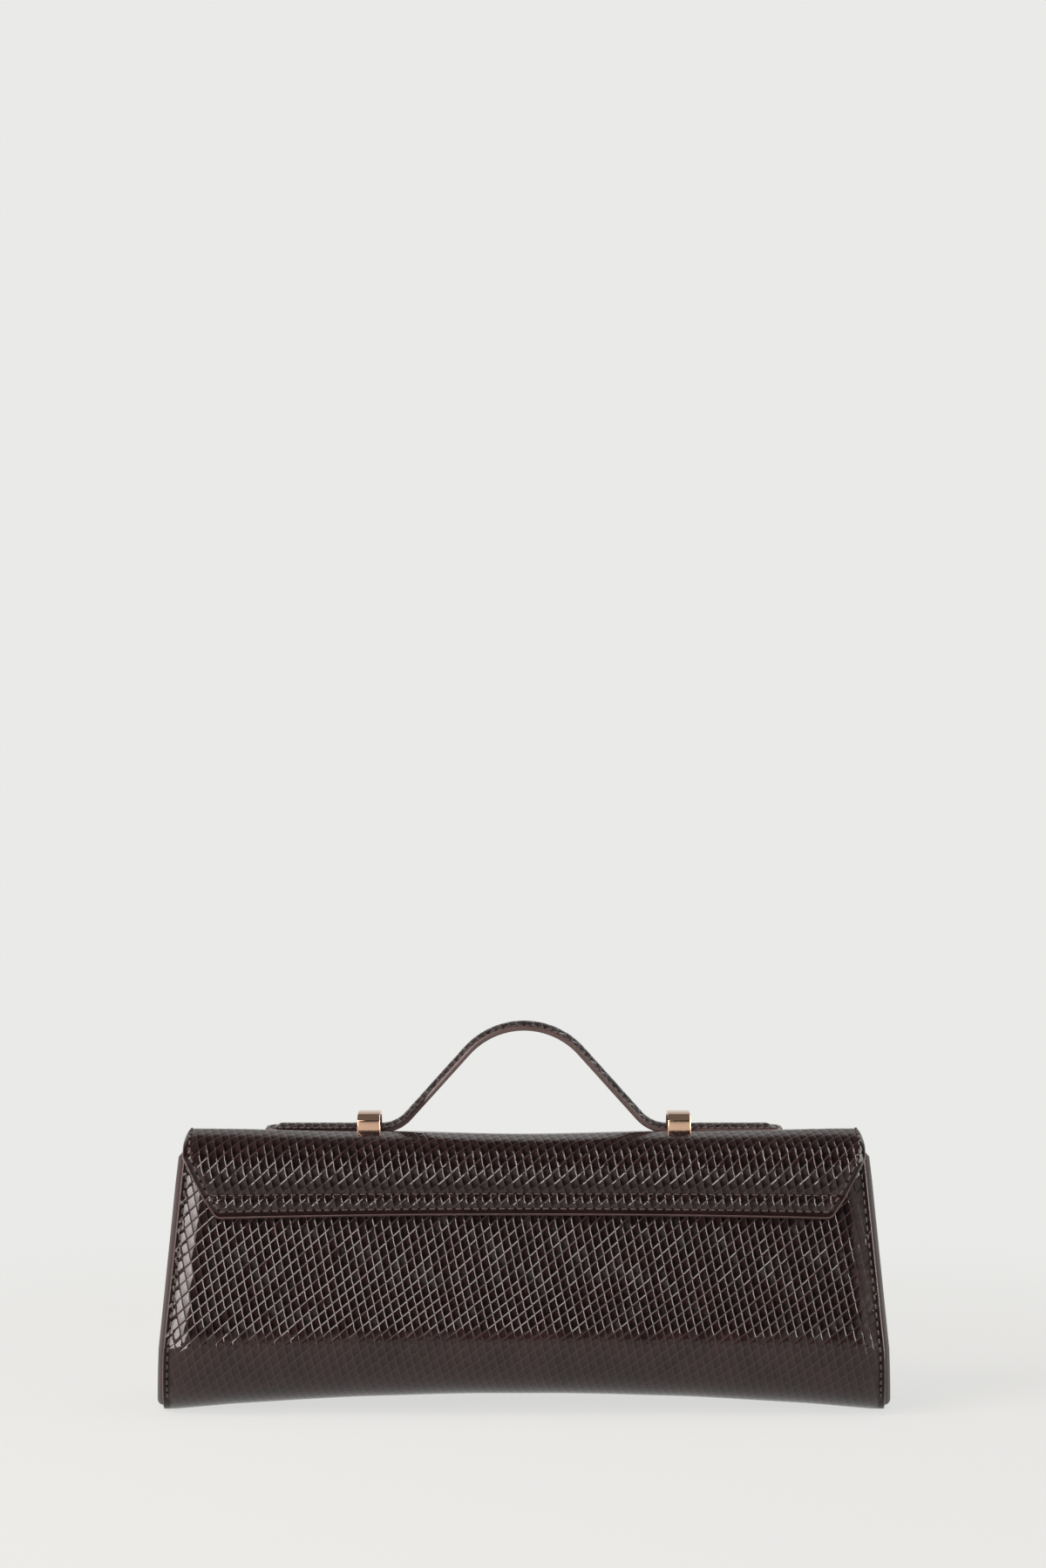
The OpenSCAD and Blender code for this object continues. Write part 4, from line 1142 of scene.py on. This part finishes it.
def dome(s, w):
    """The cover rises from its sewn edges over the core."""
    from_tip = np.minimum(s, STRAP_L - s)
    inside = (np.clip(1 - (np.abs(w) / DOME_HALF) ** 2, 0, 1) ** 1.1
              * np.clip((from_tip - PLAIN_TIP) / TIP_FADE, 0, 1) ** 0.6)
    return mix(RIM_H, DOME_H, inside)


def strap_calm(s):
    """The print is flattened by the pull over the core."""
    return 0 * s + 0.5


leg_s = strap_s(-37.0)
print("strap runs", round(STRAP_L, 1), "mm")

# %% Strap pieces
LINKS = ("left_tail", "left_leg", "crown", "right_leg", "right_tail")
cuts = [0.0, leg_s, CREST, STRAP_L - leg_s, STRAP_L]
TIP_R, EDGE_W, STRAP_ROW, STRAP_PITCH, STRAP_STITCH = 4.5, STRAP_W / 2, 1.75, 3.0, 2.4
for k, name in enumerate(("left_foot", "left_crest", "right_crest", "right_foot")):
    a, b = cuts[k:k + 2]
    bodies = LINKS[k:k + 2]
    first, last = k == 0, k == 3
    tips = (0, 3) if first else (1, 2) if last else ()
    outline = rounded([(a, -EDGE_W), (b, -EDGE_W), (b, EDGE_W), (a, EDGE_W)], dict.fromkeys(tips, TIP_R))

    def fold(obj):
        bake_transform(obj)
        return obj

    cover = leather(f"{name}_cover", outline, strap_place, "hide", top=dome, bottom=-COVER_IN, pitch=3.0,
                    border=1.9, calm=strap_calm)
    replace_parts(fold(cover), *[n + "_cover" for n in bodies], *[n + "_core" for n in bodies])
    under = leather(f"{name}_backing", outline, strap_place, "smooth", top=-BACKING_IN,
                    bottom=-STRAP_IN, pitch=3.0)
    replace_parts(fold(under), *[n + "_backing" for n in bodies])
    if first or last:
        cut, near = (b, EDGE_W) if first else (a, -EDGE_W)
        round_end = (np.concatenate([outline[:CORNER_POINTS], outline[-CORNER_POINTS:]])[::-1] if first
                     else outline[1:1 + 2 * CORNER_POINTS])
        rims = [np.concatenate([line_between((cut, near), round_end[0], 2.0)[:-1], round_end,
                                line_between(round_end[-1], (cut, -near), 2.0)[1:]])]
    else:
        rims = [line_between((a, w), (b, w), 1.5) for w in (-EDGE_W, EDGE_W)]
    fold(bead(f"{name}_edge", rims, strap_place, "edge", (RIM_H - STRAP_IN) / 2,
              (RIM_H + STRAP_IN) / 2 + 0.06, 0.45))
    row_a, row_b = a + STRAP_ROW * first, b - STRAP_ROW * last
    lines = [line_between((row_a, w), (row_b, w), 1.5) for w in (STRAP_ROW - EDGE_W, EDGE_W - STRAP_ROW)]
    if first or last:
        end = row_a if first else row_b
        lines.append(line_between((end, 2.4 - EDGE_W), (end, EDGE_W - 2.4)))
    rows = [seam_points(line, strap_place, RIM_H + 0.1, pitch=STRAP_PITCH) for line in lines]
    fold(stitch(f"{name}_stitches", rows, length=STRAP_STITCH, pitch=STRAP_PITCH))

# %% [markdown]
# Each tail passes under a metal loop with chamfered shoulders. The section is drawn once as an outer
# and an inner line, given its width, tapered to the roof, and its edges are rolled with a bevel.

# %% Loops
LOOP_X, LOOP_Z, LOOP_W, ROOF_W, LOOP_H, LOOP_T = 65.0, 114.06, 10.0, 9.4, 9.3, 1.4
FOOT_DEPTH, SIDE_DEPTH, ROOF_DEPTH, WALL_H, SINK, ROLL_R = 22.4, 22.0, 16.4, 6.2, 0.7, 0.45


def loop_outline(inset):
    """Half of the section from the foot to the crowned roof, then the same mirrored."""
    roof, roof_z = (ROOF_DEPTH - inset) / 2, LOOP_H - inset
    half = [(inset - FOOT_DEPTH / 2, -SINK), (inset - SIDE_DEPTH / 2, WALL_H), (-roof, roof_z - 0.75),
            (-roof / 2, roof_z - 0.15), (-0.8, roof_z)]
    return half + [(-y, z) for y, z in reversed(half)]


def loop_piece(name, x0):
    """A strip between the two lines, a little narrower towards the roof, with its edges rolled."""
    grids = [np.array([[(x0 + sign * mix(LOOP_W, ROOF_W, z / LOOP_H) / 2, y, LOOP_Z + z)
                        for sign in (-1, 1)] for y, z in loop_outline(inset)]) for inset in (0, LOOP_T)]
    obj = face_out(grid_piece(name, *grids, "gold"))
    bm = bmesh.new()
    bm.from_mesh(obj.data)
    bmesh.ops.bevel(bm, geom=bm.edges[:], offset=ROLL_R * MM, segments=3, profile=0.5, affect="EDGES",
                    clamp_overlap=True)
    bm.to_mesh(obj.data)
    bm.free()
    obj.data.shade_smooth()
    obj.data.set_sharp_from_angle(angle=math.radians(40))
    print(name, len(obj.data.polygons), "faces")
    return obj


for side, sign in (("left", -1), ("right", 1)):
    metal = loop_piece(f"{side}_loop_metal", sign * LOOP_X)
    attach(metal, "flap")
    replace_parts(metal, f"{side}_loop")

# %% [markdown]
# What stays of the CAD model lies between the leathers, or is plain metal: boards, wadding, tapes,
# magnets, plates and screws. Each gets the finish of its own stuff.

# %% Finishes of the CAD nodes
INNER_STUFF = (("board", "board"), ("foam", "foam"), ("core", "foam"), ("tape", "tape"),
               ("loop_plate", "steel"), ("magnets", "steel"), ("screws", "steel"), ("_loop", "gold"))
for name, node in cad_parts.items():
    stuff = next((s for word, s in INNER_STUFF if word in name), None)
    stuff = stuff or ("lining" if "lining" in name or "pocket" in name else "smooth")
    node.data.materials.clear()
    node.data.materials.append(finish[stuff])
print("CAD nodes still shown:", [n for n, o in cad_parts.items() if not o.hide_render])

# %% [markdown]
# Last, a helper that rounds each corner of a box to six decimal places.

# %% Box helper
def plain(box):
    return [[round(float(c), 6) for c in corner] for corner in box]
